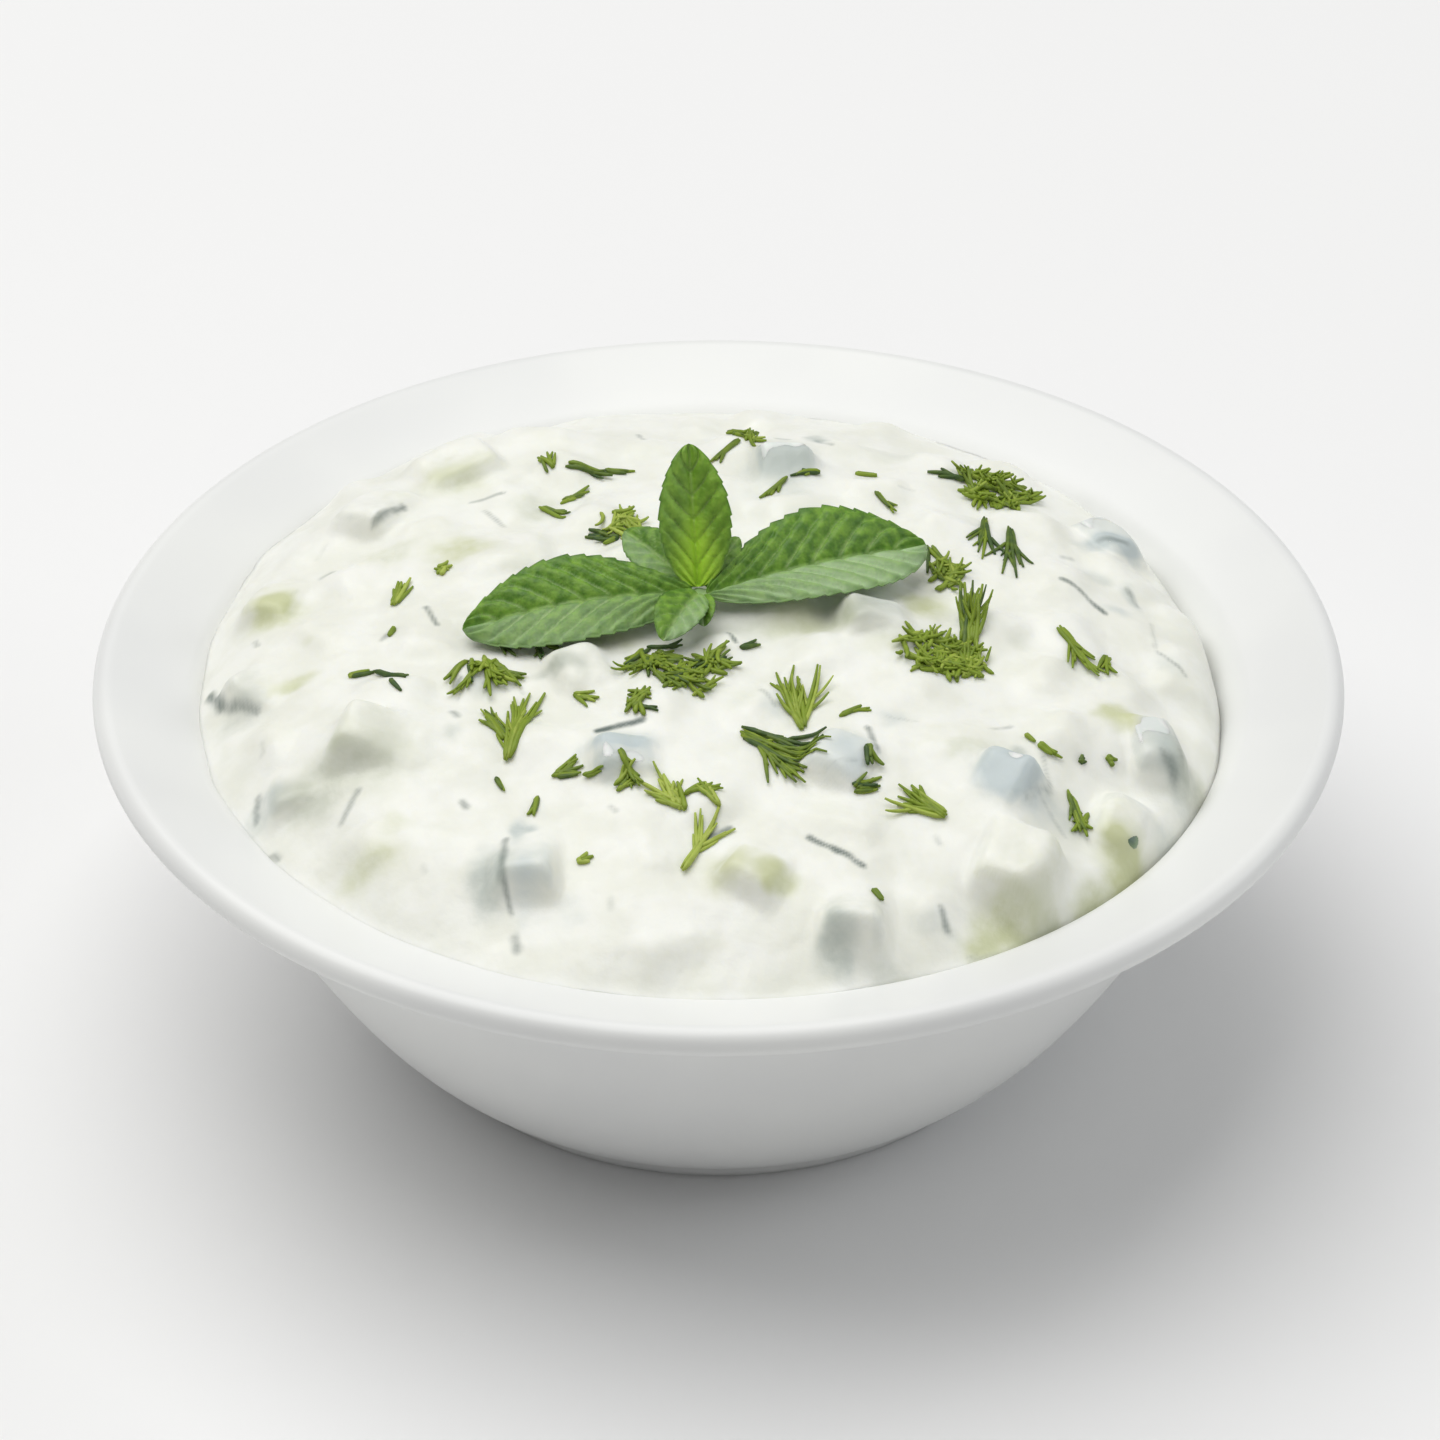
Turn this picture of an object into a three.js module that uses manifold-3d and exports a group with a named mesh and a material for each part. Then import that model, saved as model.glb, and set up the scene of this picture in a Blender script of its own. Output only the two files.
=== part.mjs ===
// Tzatziki in a white porcelain bowl with a broad sloping rim.
//
// Millimetres, +Z up. The origin is the centre of the foot ring on the table.
// The bowl is one turned shell. The dip fills it and is heaped above the rim's
// inner edge. Chunks of cucumber sit in the dip, and a sprig of mint stands in
// its middle, so the dip is cut round both.
import * as THREE from 'three';
import { mergeVertices } from 'three/addons/utils/BufferGeometryUtils.js';
import Module from 'manifold-3d';

const wasm = await Module();
wasm.setup();

const GAP = 0.3;                 // between solids that touch
const WALL_GAP = 0.45;           // between the dip and the bowl's curved wall, faceted differently
const DEG = Math.PI / 180;

// ---------------------------------------------------------------- bowl sizes
const BOWL_SEGMENTS = 52;
const FOOT_INNER_R = 36.8;
const FOOT_OUTER_R = 40.4;
const FOOT_BEVEL = 0.8;
const FOOT_RECESS = 1.6;         // how far the underside stands clear of the table
const FLOOR_Z = 5.6;             // inside, at the middle
const WALL_FOOT = [41.6, 2.2];   // outside of the wall where it leaves the foot
const WALL_BELLY = [51.4, 8.2];  // the two handles of its curve
const WALL_WAIST = [60.6, 26.0];
const WALL_TOP = [68.8, 44.6];
const INNER_FOOT = [30.0, 5.8];  // inside of the wall, a wall thickness in
const INNER_BELLY = [49.5, 7.2];
const INNER_WAIST = [58.3, 31.0];
const INNER_TOP = [65.2, 46.2];
const RIM_INNER_CORNER = [66.7, 48.7];
const RIM_INNER_TOP = [68.6, 49.35];
const LIP_CENTRE = [78.1, 51.0];
const LIP_R = 1.9;               // the lip is fully rounded
const LIP_START = 110;           // degrees, where the lip's round meets the rim's top
const LIP_END = -82;             // degrees, where it meets the rim's underside
const RIM_FILLET = [71.9, 45.6]; // the underside's hollow turn into the wall

// ----------------------------------------------------------------- dip sizes
const DIP_SECTORS = 50;
const DIP_RINGS = 14;
const DIP_EDGE_R = 66.0;
const DIP_EDGE_Z = 48.2;
const HEAP_HEIGHT = 12.6;        // of the middle above the edge
const HEAP_POWER = 2.7;          // how flat the middle is
const HEAP_SHOULDER = 0.82;      // how round the edge is
const RELIEF_FADE = 0.17;        // lumps die out over this share of the radius, at the edge

// Lumps under the surface: [x, y, radius, height].
const LUMPS = [
    [-35, 43, 9, 3.4], [-45, 27, 9, 2.8], [-20, 42, 9, 1.8], [10, 38, 8, 2.2],
    [13, 27, 8, 1.6], [30, 33, 9, 1.6], [49, 20, 8, 1.6], [-58, 11, 8, 2.6],
    [-30, 12, 10, 1.4], [-57, -10, 7, 1.6], [-43, -26, 9, 2.4], [-52, -31, 7, 1.4],
    [-40, -44, 9, 2.0], [-27, -49, 7, 1.6], [-12, -29, 8, 1.2], [22, -7, 8, 1.8],
    [17, -31, 7, 1.2], [37, -34, 8, 2.0], [52, -21, 8, 2.0], [54, 4, 8, 1.6],
    [36, -46, 11, 3.0], [15, -57, 8, 1.6], [3, -52, 9, 0.9], [-10, -58, 9, 0.8],
];
const CREASE = [51, -38, 9, -3.4];   // where the dip falls back from the rim

// ------------------------------------------------------------ cucumber sizes
const SKIN_R = 17.5;             // of the cucumber
const CHUNK_BEVEL = 0.5;
const CHUNK_ARC_STEPS = 4;
// One chunk a row: x, y, how far its top stands above the heap, its depth
// from the skin inwards, its width, its height, and its turns about X, Y, Z.
const CHUNKS = [
    { x: 8.8, y: 33.6, proud: 1.0, depth: 8, width: 8, height: 7, turn: [38, 4, 4] },
    { x: 50.6, y: 26.4, proud: 1.2, depth: 7, width: 8, height: 7, turn: [14, 16, 48] },
    { x: -58.2, y: -9.4, proud: 0.9, depth: 7, width: 9, height: 7, turn: [4, -8, 222] },
    { x: -57.2, y: 8.8, proud: 0.9, depth: 7, width: 8, height: 7, turn: [10, 14, 160] },
    { x: -42.0, y: -26.4, proud: 1.2, depth: 9, width: 12, height: 8, turn: [22, -6, 75] },
    { x: -52.2, y: -30.6, proud: 0.8, depth: 6.5, width: 7.5, height: 7, turn: [14, 10, 190] },
    { x: -23.2, y: -49.2, proud: 1.1, depth: 7.5, width: 9.5, height: 8, turn: [16, 4, 178] },
    { x: -12.0, y: -32.0, proud: 0.9, depth: 7, width: 7.5, height: 6.5, turn: [16, 0, 94] },
    { x: -17.4, y: -13.6, proud: 0.3, depth: 7, width: 8, height: 6, turn: [12, 4, 24] },
    { x: 19.2, y: -4.2, proud: 0.8, depth: 7.5, width: 8, height: 6.5, turn: [20, 8, 100] },
    { x: 15.0, y: -32.0, proud: 0.9, depth: 7.5, width: 7.5, height: 7, turn: [10, -8, 60] },
    { x: 35.6, y: -34.4, proud: 1.3, depth: 7.5, width: 8, height: 8, turn: [22, -6, -32] },
    { x: 54.0, y: -20.8, proud: 1.1, depth: 7, width: 8.5, height: 7.5, turn: [10, 12, 15] },
    { x: 49.2, y: -33.4, proud: 0.9, depth: 7, width: 8, height: 6.5, turn: [16, -60, -30] },
    { x: 16.0, y: -56.6, proud: 0.8, depth: 7.5, width: 8.5, height: 7, turn: [18, 0, 172] },
    { x: -34.8, y: 37.0, proud: 1.0, depth: 9, width: 11, height: 8, turn: [-8, 10, 118] },
    { x: -45.0, y: 25.6, proud: 0.8, depth: 8, width: 10, height: 7.5, turn: [8, 14, 150] },
    { x: 36.2, y: -46.2, proud: 0.9, depth: 9, width: 10, height: 8, turn: [12, 6, -20] },
    { x: 4.0, y: -51.2, proud: 0.6, depth: 7, width: 7, height: 6, turn: [10, 4, 64] },
];

// ---------------------------------------------------------------- mint sizes
const LEAF_COLUMNS = 2;          // to each side of the midrib
const LEAF_THICKNESS = 0.7;
const LEAF_STALK_HALF = 0.5;     // half width where the blade meets the stem
const LEAF_TIP_HALF = 0.12;
const LEAF_FULLNESS = 0.75;
const TOOTH = 0.1;               // of the blade's half width
const SPRIG = [-2.4, -1.4, 63.2]; // where the leaves meet
const STEM_R = 1.1;
const STEM_DEPTH = 9;            // below that point
const STEM_LEAN = [1.6, -0.8];   // of its foot, from straight down
const STEM_BOW = [-0.6, 0.4];    // of its middle
const STEM_STEPS = 4;
const STEM_HALF_SIDES = 4;
const BUD_R = 1.7;
// The leaves. Each has a base and a tip, and the rise of its midrib's middle;
// its half width, and where along it the blade is widest; the slopes of its far
// and near sides, in degrees; and the number of rows it is made of.
const LEAVES = [
    {
        base: [-3.3, -1.6, 63.3], tip: [-32.4, -6.2, 60.8], rise: 3.4,
        half: 6.8, widest: 0.45, far: 31, near: 13, rows: 13,
    },
    {
        base: [-1.4, -1.8, 63.3], tip: [26.8, 10.4, 62.6], rise: 2.0,
        half: 7.2, widest: 0.55, far: 30, near: 2, rows: 13,
    },
    {
        base: [-2.6, -0.3, 63.4], tip: [-3.8, 9.0, 79.0], rise: 0.6,
        half: 4.7, widest: 0.5, far: 16, near: -16, rows: 13,
    },
    {
        base: [-2.6, -2.4, 63.8], tip: [-7.0, -11.4, 62.6], rise: 1.6,
        half: 3.3, widest: 0.5, far: 24, near: -4, rows: 9,
    },
    {
        base: [-1.6, -0.4, 63.6], tip: [2.6, 5.8, 67.0], rise: 0.5,
        half: 1.9, widest: 0.5, far: 30, near: 10, rows: 7,
    },
    {
        base: [-3.3, -0.5, 63.6], tip: [-12.0, 8.6, 66.2], rise: 0.8,
        half: 3.2, widest: 0.55, far: 34, near: 14, rows: 7,
    },
    {
        base: [-2.0, -2.4, 63.5], tip: [-1.8, -7.6, 62.2], rise: 0.8,
        half: 1.6, widest: 0.5, far: 20, near: 0, rows: 7,
    },
];

// ------------------------------------------------------------ shared helpers
function toSolid(geometry) {
    const shape = geometry.index ? geometry.toNonIndexed() : geometry.clone();
    shape.deleteAttribute('normal');
    shape.deleteAttribute('uv');
    const merged = mergeVertices(shape, 1e-4);
    return new wasm.Manifold(new wasm.Mesh({
        numProp: 3,
        vertProperties: new Float32Array(merged.attributes.position.array),
        triVerts: new Uint32Array(merged.index.array),
    }));
}

function toGeometry(solid) {
    const mesh = solid.getMesh();
    const geometry = new THREE.BufferGeometry();
    geometry.setAttribute('position', new THREE.BufferAttribute(mesh.vertProperties, 3));
    geometry.setIndex(new THREE.BufferAttribute(mesh.triVerts, 1));
    geometry.computeVertexNormals();
    return geometry;
}

function geometryFrom(points, faces) {
    const geometry = new THREE.BufferGeometry();
    geometry.setAttribute('position', new THREE.Float32BufferAttribute(points.flat(), 3));
    geometry.setIndex(faces.flat());
    geometry.computeVertexNormals();
    return geometry;
}

function curvePoints(a, b, c, d, steps) {
    const v = (p) => new THREE.Vector2(p[0], p[1]);
    return new THREE.CubicBezierCurve(v(a), v(b), v(c), v(d)).getPoints(steps);
}

function bendPoints(a, corner, b, steps) {
    const v = (p) => new THREE.Vector2(p[0], p[1]);
    return new THREE.QuadraticBezierCurve(v(a), v(corner), v(b)).getPoints(steps);
}

function lipPoints(steps) {
    const points = [];
    for (let i = 0; i <= steps; i++) {
        const angle = (LIP_END + (LIP_START - LIP_END) * i / steps) * DEG;
        points.push(new THREE.Vector2(
            LIP_CENTRE[0] + LIP_R * Math.cos(angle),
            LIP_CENTRE[1] + LIP_R * Math.sin(angle)));
    }
    return points;
}

// ---------------------------------------------------------------------- bowl
function innerWall(steps) {
    return curvePoints(INNER_FOOT, INNER_BELLY, INNER_WAIST, INNER_TOP, steps);
}

function bowlGeometry() {
    const lip = lipPoints(5);
    const lowest = [lip[0].x, lip[0].y];
    const profile = [
        new THREE.Vector2(0, FOOT_RECESS),
        new THREE.Vector2(FOOT_INNER_R - FOOT_RECESS, FOOT_RECESS),
        new THREE.Vector2(FOOT_INNER_R, 0),
        new THREE.Vector2(FOOT_OUTER_R, 0),
        new THREE.Vector2(FOOT_OUTER_R + FOOT_BEVEL, FOOT_BEVEL),
        ...curvePoints(WALL_FOOT, WALL_BELLY, WALL_WAIST, WALL_TOP, 6),
        ...bendPoints(WALL_TOP, RIM_FILLET, lowest, 3).slice(1, -1),
        ...lip,
        ...bendPoints(RIM_INNER_TOP, RIM_INNER_CORNER, INNER_TOP, 3),
        ...innerWall(5).reverse().slice(1),
        new THREE.Vector2(0, FLOOR_Z),
    ];
    return new THREE.LatheGeometry(profile, BOWL_SEGMENTS);
}

// ----------------------------------------------------------------------- dip
function heapHeight(x, y) {
    const reach = Math.min(Math.hypot(x, y) / DIP_EDGE_R, 1);
    const dome = HEAP_HEIGHT * (1 - reach ** HEAP_POWER) ** HEAP_SHOULDER;
    let relief = 0;
    for (const [cx, cy, radius, height] of [...LUMPS, CREASE]) {
        relief += height * Math.exp(-(((x - cx) ** 2 + (y - cy) ** 2) / radius ** 2));
    }
    const fade = Math.min(1, (1 - reach) / RELIEF_FADE);
    return DIP_EDGE_Z + dome + relief * fade;
}

// The profile runs up the bowl's inner wall, a gap inside it, and then in
// across the heap to the middle; its top is lifted to the heap's own relief.
function dipGeometry() {
    const wall = innerWall(5);
    const side = wall.map((p, i) => {
        const a = wall[Math.max(i - 1, 0)];
        const b = wall[Math.min(i + 1, wall.length - 1)];
        const along = b.clone().sub(a).normalize();
        const inwards = new THREE.Vector2(-along.y, along.x);
        return p.clone().addScaledVector(inwards, WALL_GAP);
    });
    const rings = [];
    side.forEach((p) => rings.push({ r: p.x, z: p.y, heap: false }));
    for (let k = 0; k < DIP_RINGS; k++) {
        const reach = Math.sin((1 - k / DIP_RINGS) * Math.PI / 2);
        rings.push({ r: DIP_EDGE_R * reach, z: 0, heap: true });
    }
    const points = [[0, 0, FLOOR_Z + WALL_GAP]];
    for (const ring of rings) {
        for (let s = 0; s < DIP_SECTORS; s++) {
            const turn = s / DIP_SECTORS * 2 * Math.PI;
            const x = ring.r * Math.cos(turn);
            const y = ring.r * Math.sin(turn);
            points.push([x, y, ring.heap ? heapHeight(x, y) : ring.z]);
        }
    }
    points.push([0, 0, heapHeight(0, 0)]);
    const faces = [];
    const at = (k, s) => 1 + k * DIP_SECTORS + s % DIP_SECTORS;
    const last = points.length - 1;
    for (let s = 0; s < DIP_SECTORS; s++) {
        faces.push([0, at(0, s + 1), at(0, s)]);
        for (let k = 0; k + 1 < rings.length; k++) {
            faces.push([at(k, s), at(k, s + 1), at(k + 1, s + 1)]);
            faces.push([at(k, s), at(k + 1, s + 1), at(k + 1, s)]);
        }
        faces.push([at(rings.length - 1, s), at(rings.length - 1, s + 1), last]);
    }
    return geometryFrom(points, faces);
}

// ------------------------------------------------------------------ cucumber
// A piece of a slice: three flat cuts and the round skin, centred on itself.
function chunkGeometry(chunk, grow) {
    const outer = SKIN_R + grow;
    const inner = SKIN_R - chunk.depth - grow;
    const half = Math.asin((chunk.width / 2 + grow) / SKIN_R);
    const height = chunk.height + 2 * grow;
    const shape = new THREE.Shape();
    const b = CHUNK_BEVEL;
    shape.moveTo(inner + b, -chunk.width / 2 - grow + b);
    for (let i = 0; i <= CHUNK_ARC_STEPS; i++) {
        const angle = half * (2 * i / CHUNK_ARC_STEPS - 1);
        const y = (SKIN_R + grow) * Math.sin(angle) * (1 - b / (chunk.width / 2 + grow));
        shape.lineTo(outer * Math.cos(angle) - b, y);
    }
    shape.lineTo(inner + b, chunk.width / 2 + grow - b);
    const geometry = new THREE.ExtrudeGeometry(shape, {
        depth: height - 2 * b, bevelEnabled: true, bevelSegments: 1, bevelSize: b, bevelThickness: b,
    });
    geometry.translate(chunk.depth / 2 - SKIN_R, 0, b - height / 2);
    return geometry;
}

function chunkMatrix(chunk) {
    const z = heapHeight(chunk.x, chunk.y) + chunk.proud - chunk.height / 2;
    const turn = new THREE.Euler(...chunk.turn.map((angle) => angle * DEG), 'ZYX');
    const matrix = new THREE.Matrix4().makeRotationFromEuler(turn);
    return matrix.setPosition(chunk.x, chunk.y, z);
}

// ---------------------------------------------------------------------- mint
// A leaf is a blade on a bent midrib: two slopes meet along it, the margin is
// toothed, and the outline is widest nearer the stem.
function leafGeometry({ base, tip, rise, half, widest, far, near, rows }, grow) {
    const start = new THREE.Vector3(...base);
    const end = new THREE.Vector3(...tip);
    const middle = start.clone().lerp(end, 0.5).add(new THREE.Vector3(0, 0, rise));
    const midrib = new THREE.QuadraticBezierCurve3(start, middle, end);
    const run = end.clone().sub(start);
    const across = new THREE.Vector3(-run.y, run.x, 0).normalize();
    if (across.y < 0 || Math.hypot(run.x, run.y) < run.z) across.negate();
    const columns = 2 * LEAF_COLUMNS + 1;
    const skew = Math.log(0.5) / Math.log(widest);
    const points = [[], []];
    for (let i = 0; i <= rows; i++) {
        const u = i / rows;
        const centre = midrib.getPoint(u);
        const along = midrib.getTangent(u);
        const up = along.clone().cross(across).normalize();
        if (up.z < 0) up.negate();
        const outline = Math.sin(Math.PI * u ** skew) ** LEAF_FULLNESS;
        const ends = LEAF_STALK_HALF * (1 - u) + LEAF_TIP_HALF * u;
        const width = Math.max(half * outline * (1 - TOOTH * (i % 2)), ends) + grow;
        for (let j = 0; j < columns; j++) {
            const v = (j - LEAF_COLUMNS) / LEAF_COLUMNS;
            const slope = (v > 0 ? far : near) * DEG;
            const place = centre.clone()
                .addScaledVector(across, v * width * Math.cos(slope))
                .addScaledVector(up, v * width * Math.sin(slope));
            points[0].push(place.clone().addScaledVector(up, LEAF_THICKNESS / 2 + grow).toArray());
            points[1].push(place.clone().addScaledVector(up, -LEAF_THICKNESS / 2 - grow).toArray());
        }
    }
    const count = points[0].length;
    const faces = [];
    const quad = (a, b, c, d) => faces.push([a, b, c], [a, c, d]);
    for (let i = 0; i < rows; i++) {
        for (let j = 0; j + 1 < columns; j++) {
            const a = i * columns + j;
            quad(a, a + columns, a + columns + 1, a + 1);
            quad(count + a, count + a + 1, count + a + columns + 1, count + a + columns);
        }
        const first = i * columns;
        const last = first + columns - 1;
        quad(first, count + first, count + first + columns, first + columns);
        quad(last, last + columns, count + last + columns, count + last);
    }
    for (let j = 0; j + 1 < columns; j++) {
        const end = rows * columns + j;
        quad(j, j + 1, count + j + 1, count + j);
        quad(end, count + end, count + end + 1, end + 1);
    }
    return geometryFrom([...points[0], ...points[1]], faces);
}

function outwards(geometry) {
    const solid = toSolid(geometry);
    if (solid.volume() > 0) return solid;
    const flipped = geometry.clone();
    const index = flipped.index.array;
    for (let i = 0; i < index.length; i += 3) [index[i], index[i + 1]] = [index[i + 1], index[i]];
    return toSolid(flipped);
}

function stemGeometry(radius, extra) {
    const top = new THREE.Vector3(...SPRIG);
    const foot = top.clone().add(new THREE.Vector3(...STEM_LEAN, -STEM_DEPTH - extra));
    const bend = top.clone().lerp(foot, 0.5).add(new THREE.Vector3(...STEM_BOW, 0));
    const section = new THREE.Shape();
    section.absarc(0, 0, radius, 0, 2 * Math.PI, false);
    return new THREE.ExtrudeGeometry(section, {
        steps: STEM_STEPS, curveSegments: STEM_HALF_SIDES, bevelEnabled: false,
        extrudePath: new THREE.QuadraticBezierCurve3(foot, bend, top),
    });
}

function mintSolid() {
    const bud = new THREE.SphereGeometry(BUD_R, 8, 6).translate(...SPRIG);
    let sprig = outwards(stemGeometry(STEM_R, 0)).add(outwards(bud));
    for (const leaf of LEAVES) sprig = sprig.add(outwards(leafGeometry(leaf, 0)));
    return sprig;
}

// ------------------------------------------------------------------ assembly
const finish = (color, roughness) => new THREE.MeshStandardMaterial({ color, roughness, metalness: 0 });
const porcelain = () => finish(0xf2f3f1, 0.22);
const yoghurt = () => finish(0xf6f7ec, 0.4);
const flesh = () => finish(0xcddcc0, 0.35);
const mintGreen = () => finish(0x4e8a35, 0.5);

function named(name, geometry, material) {
    const mesh = new THREE.Mesh(geometry, material);
    mesh.name = name;
    return mesh;
}

function dipSolid() {
    let dip = toSolid(dipGeometry());
    for (const chunk of CHUNKS) {
        const pocket = chunkGeometry(chunk, GAP).applyMatrix4(chunkMatrix(chunk));
        dip = dip.subtract(toSolid(pocket));
    }
    for (const leaf of LEAVES) dip = dip.subtract(outwards(leafGeometry(leaf, GAP)));
    return dip.subtract(outwards(stemGeometry(STEM_R + GAP, GAP)));
}

const tzatziki = new THREE.Group();
const bowl = named('bowl', bowlGeometry(), porcelain());
bowl.rotation.x = Math.PI / 2;
tzatziki.add(bowl);
tzatziki.add(named('tzatziki', toGeometry(dipSolid()), yoghurt()));
CHUNKS.forEach((chunk, i) => {
    const name = `cucumber_${String(i + 1).padStart(2, '0')}`;
    const piece = named(name, chunkGeometry(chunk, 0), flesh());
    piece.applyMatrix4(chunkMatrix(chunk));
    tzatziki.add(piece);
});
tzatziki.add(named('mint_sprig', toGeometry(mintSolid()), mintGreen()));

export default tzatziki;
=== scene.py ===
# %% [markdown]
# # A bowl of tzatziki
# The dip is strained yoghurt with cucumber chunks stirred through it, heaped in a white
# porcelain bowl and topped with chopped dill and a sprig of mint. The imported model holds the
# places and sizes of all the solid pieces. This scene makes their fine surfaces and finishes.
# Every shape here is a function of two parameters, worked out with numpy in millimetres.

# %% Load the fixed frame
from math import cos, pi, radians, sin

import bpy
import numpy as np
from mathutils import Matrix, Vector


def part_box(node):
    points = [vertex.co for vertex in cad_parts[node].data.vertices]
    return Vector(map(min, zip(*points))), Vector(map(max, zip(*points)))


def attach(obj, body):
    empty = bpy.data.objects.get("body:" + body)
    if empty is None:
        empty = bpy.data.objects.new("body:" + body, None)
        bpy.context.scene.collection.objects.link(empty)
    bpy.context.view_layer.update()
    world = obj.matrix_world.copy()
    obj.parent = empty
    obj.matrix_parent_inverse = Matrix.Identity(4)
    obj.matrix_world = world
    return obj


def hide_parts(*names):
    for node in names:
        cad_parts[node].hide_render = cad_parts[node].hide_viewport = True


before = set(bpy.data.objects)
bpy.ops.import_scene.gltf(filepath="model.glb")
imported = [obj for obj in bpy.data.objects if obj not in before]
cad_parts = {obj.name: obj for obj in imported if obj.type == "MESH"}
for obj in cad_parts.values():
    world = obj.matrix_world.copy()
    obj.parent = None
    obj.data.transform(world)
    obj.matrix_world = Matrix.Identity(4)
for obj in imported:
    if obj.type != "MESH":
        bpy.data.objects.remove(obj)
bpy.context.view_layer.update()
MM = 0.001
CHUNK_NODES = sorted(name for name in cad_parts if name.startswith("cucumber"))
print("nodes:", len(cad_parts), "chunks:", len(CHUNK_NODES))

# %% [markdown]
# ## The camera
# It looks down at 34 degrees with a long lens, so that the round rim is a clean ellipse. A
# long lens far away keeps the near and far sides of the bowl at nearly one scale. The camera
# is set from the rim's centre and aims a little below it, which leaves room for the bowl.

# %% Place the camera
RIM_CENTRE = Vector((0, 0, 51 * MM))
VIEW_DOWN = radians(34)
VIEW_DISTANCE = 0.72
AIM_BELOW = 6.89 * MM
AIM_RIGHT = 0.19 * MM
LENS = 140.24

eye = RIM_CENTRE + VIEW_DISTANCE * Vector((0, -cos(VIEW_DOWN), sin(VIEW_DOWN)))
picture_up = Vector((0, sin(VIEW_DOWN), cos(VIEW_DOWN)))
aim = RIM_CENTRE - AIM_BELOW * picture_up + AIM_RIGHT * Vector((1, 0, 0))
camera = bpy.data.objects.new("camera", bpy.data.cameras.new("camera"))
camera.data.lens = LENS
camera.data.sensor_width = 36
camera.data.clip_start = 0.01
camera.location = eye
camera.rotation_euler = (aim - eye).to_track_quat("-Z", "Y").to_euler()
bpy.context.scene.collection.objects.link(camera)
bpy.context.scene.camera = camera
print("camera at", [round(v, 3) for v in eye])

# %% [markdown]
# ## Putting a surface into a mesh
# A surface is an array of points and an array of four-cornered faces. `foreach_set` copies
# whole arrays into Blender, which is far quicker than adding points one by one. A closed
# surface has a signed volume, and when it comes out negative the faces are turned round.

# %% Mesh helpers
def grid_faces(rows, columns, wrap=False):
    """Faces of a grid of rows by columns points; with wrap the last column meets the first."""
    across = columns if wrap else columns - 1
    i, j = np.meshgrid(np.arange(rows - 1), np.arange(across), indexing="ij")
    k = (j + 1) % columns
    corners = (i * columns + j, (i + 1) * columns + j, (i + 1) * columns + k, i * columns + k)
    return np.stack(corners, -1).reshape(-1, 4)


def outward(points, faces):
    """Turns the faces round if the volume they enclose is negative."""
    a, b, c, d = (points[faces[:, k]] for k in range(4))
    volume = (np.cross(a, b) * c).sum() + (np.cross(a, c) * d).sum()
    return faces if volume > 0 else faces[:, ::-1]


def put_mesh(name, points, faces, finish, slot, **colours):
    """Makes a smooth piece at the origin from points in millimetres; colours are values a point."""
    faces = outward(points, faces)
    mesh = bpy.data.meshes.new(name)
    mesh.vertices.add(len(points))
    mesh.vertices.foreach_set("co", (points * MM).astype(np.float32).ravel())
    three = faces[:, 3] == faces[:, 0]
    counts = np.where(three, 3, 4)
    corners = faces.ravel()[np.column_stack([np.ones((len(faces), 3), bool), ~three]).ravel()]
    mesh.loops.add(len(corners))
    mesh.loops.foreach_set("vertex_index", corners.astype(np.int32))
    mesh.polygons.add(len(faces))
    mesh.polygons.foreach_set("loop_start", (np.cumsum(counts) - counts).astype(np.int32))
    mesh.polygons.foreach_set("use_smooth", np.ones(len(faces), bool))
    mesh.update(calc_edges=True)
    for key, values in colours.items():
        layer = mesh.attributes.new(key, "FLOAT", "POINT")
        layer.data.foreach_set("value", np.asarray(values, np.float32).ravel())
    mesh.materials.append(finish)
    piece = bpy.data.objects.new(name, mesh)
    bpy.context.scene.collection.objects.link(piece)
    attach(piece, "root")
    print(name, len(points), "points", int((counts - 2).sum()), "triangles")
    return piece


# %% [markdown]
# ## Shader maths as Python
# A finish is a little program on its surface: noise, masks and mixes. `Value` wraps one
# socket, so that an expression such as `1 - mask * 0.5` adds its Math nodes by itself. Every
# other node comes from `Recipe.node`, which sets the node up and then fills its sockets.

# %% Recipe helpers
class Value:
    """A number on the surface: the output socket of a node, with arithmetic."""

    def __init__(self, recipe, socket):
        self.recipe = recipe
        self.socket = socket

    def maths(self, operation, first, second=0.0):
        return self.recipe.node("ShaderNodeMath", {"operation": operation}, {0: first, 1: second})

    def __add__(self, other):
        return self.maths("ADD", self, other)

    __radd__ = __add__

    def __sub__(self, other):
        return self.maths("SUBTRACT", self, other)

    def __rsub__(self, other):
        return self.maths("SUBTRACT", other, self)

    def __mul__(self, other):
        return self.maths("MULTIPLY", self, other)

    __rmul__ = __mul__

    def between(self, low, high):
        """0 at low, 1 at high, and a smooth curve from one to the other."""
        settings = {"interpolation_type": "SMOOTHSTEP"}
        return self.recipe.node("ShaderNodeMapRange", settings, {0: self, 1: low, 2: high})


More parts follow.
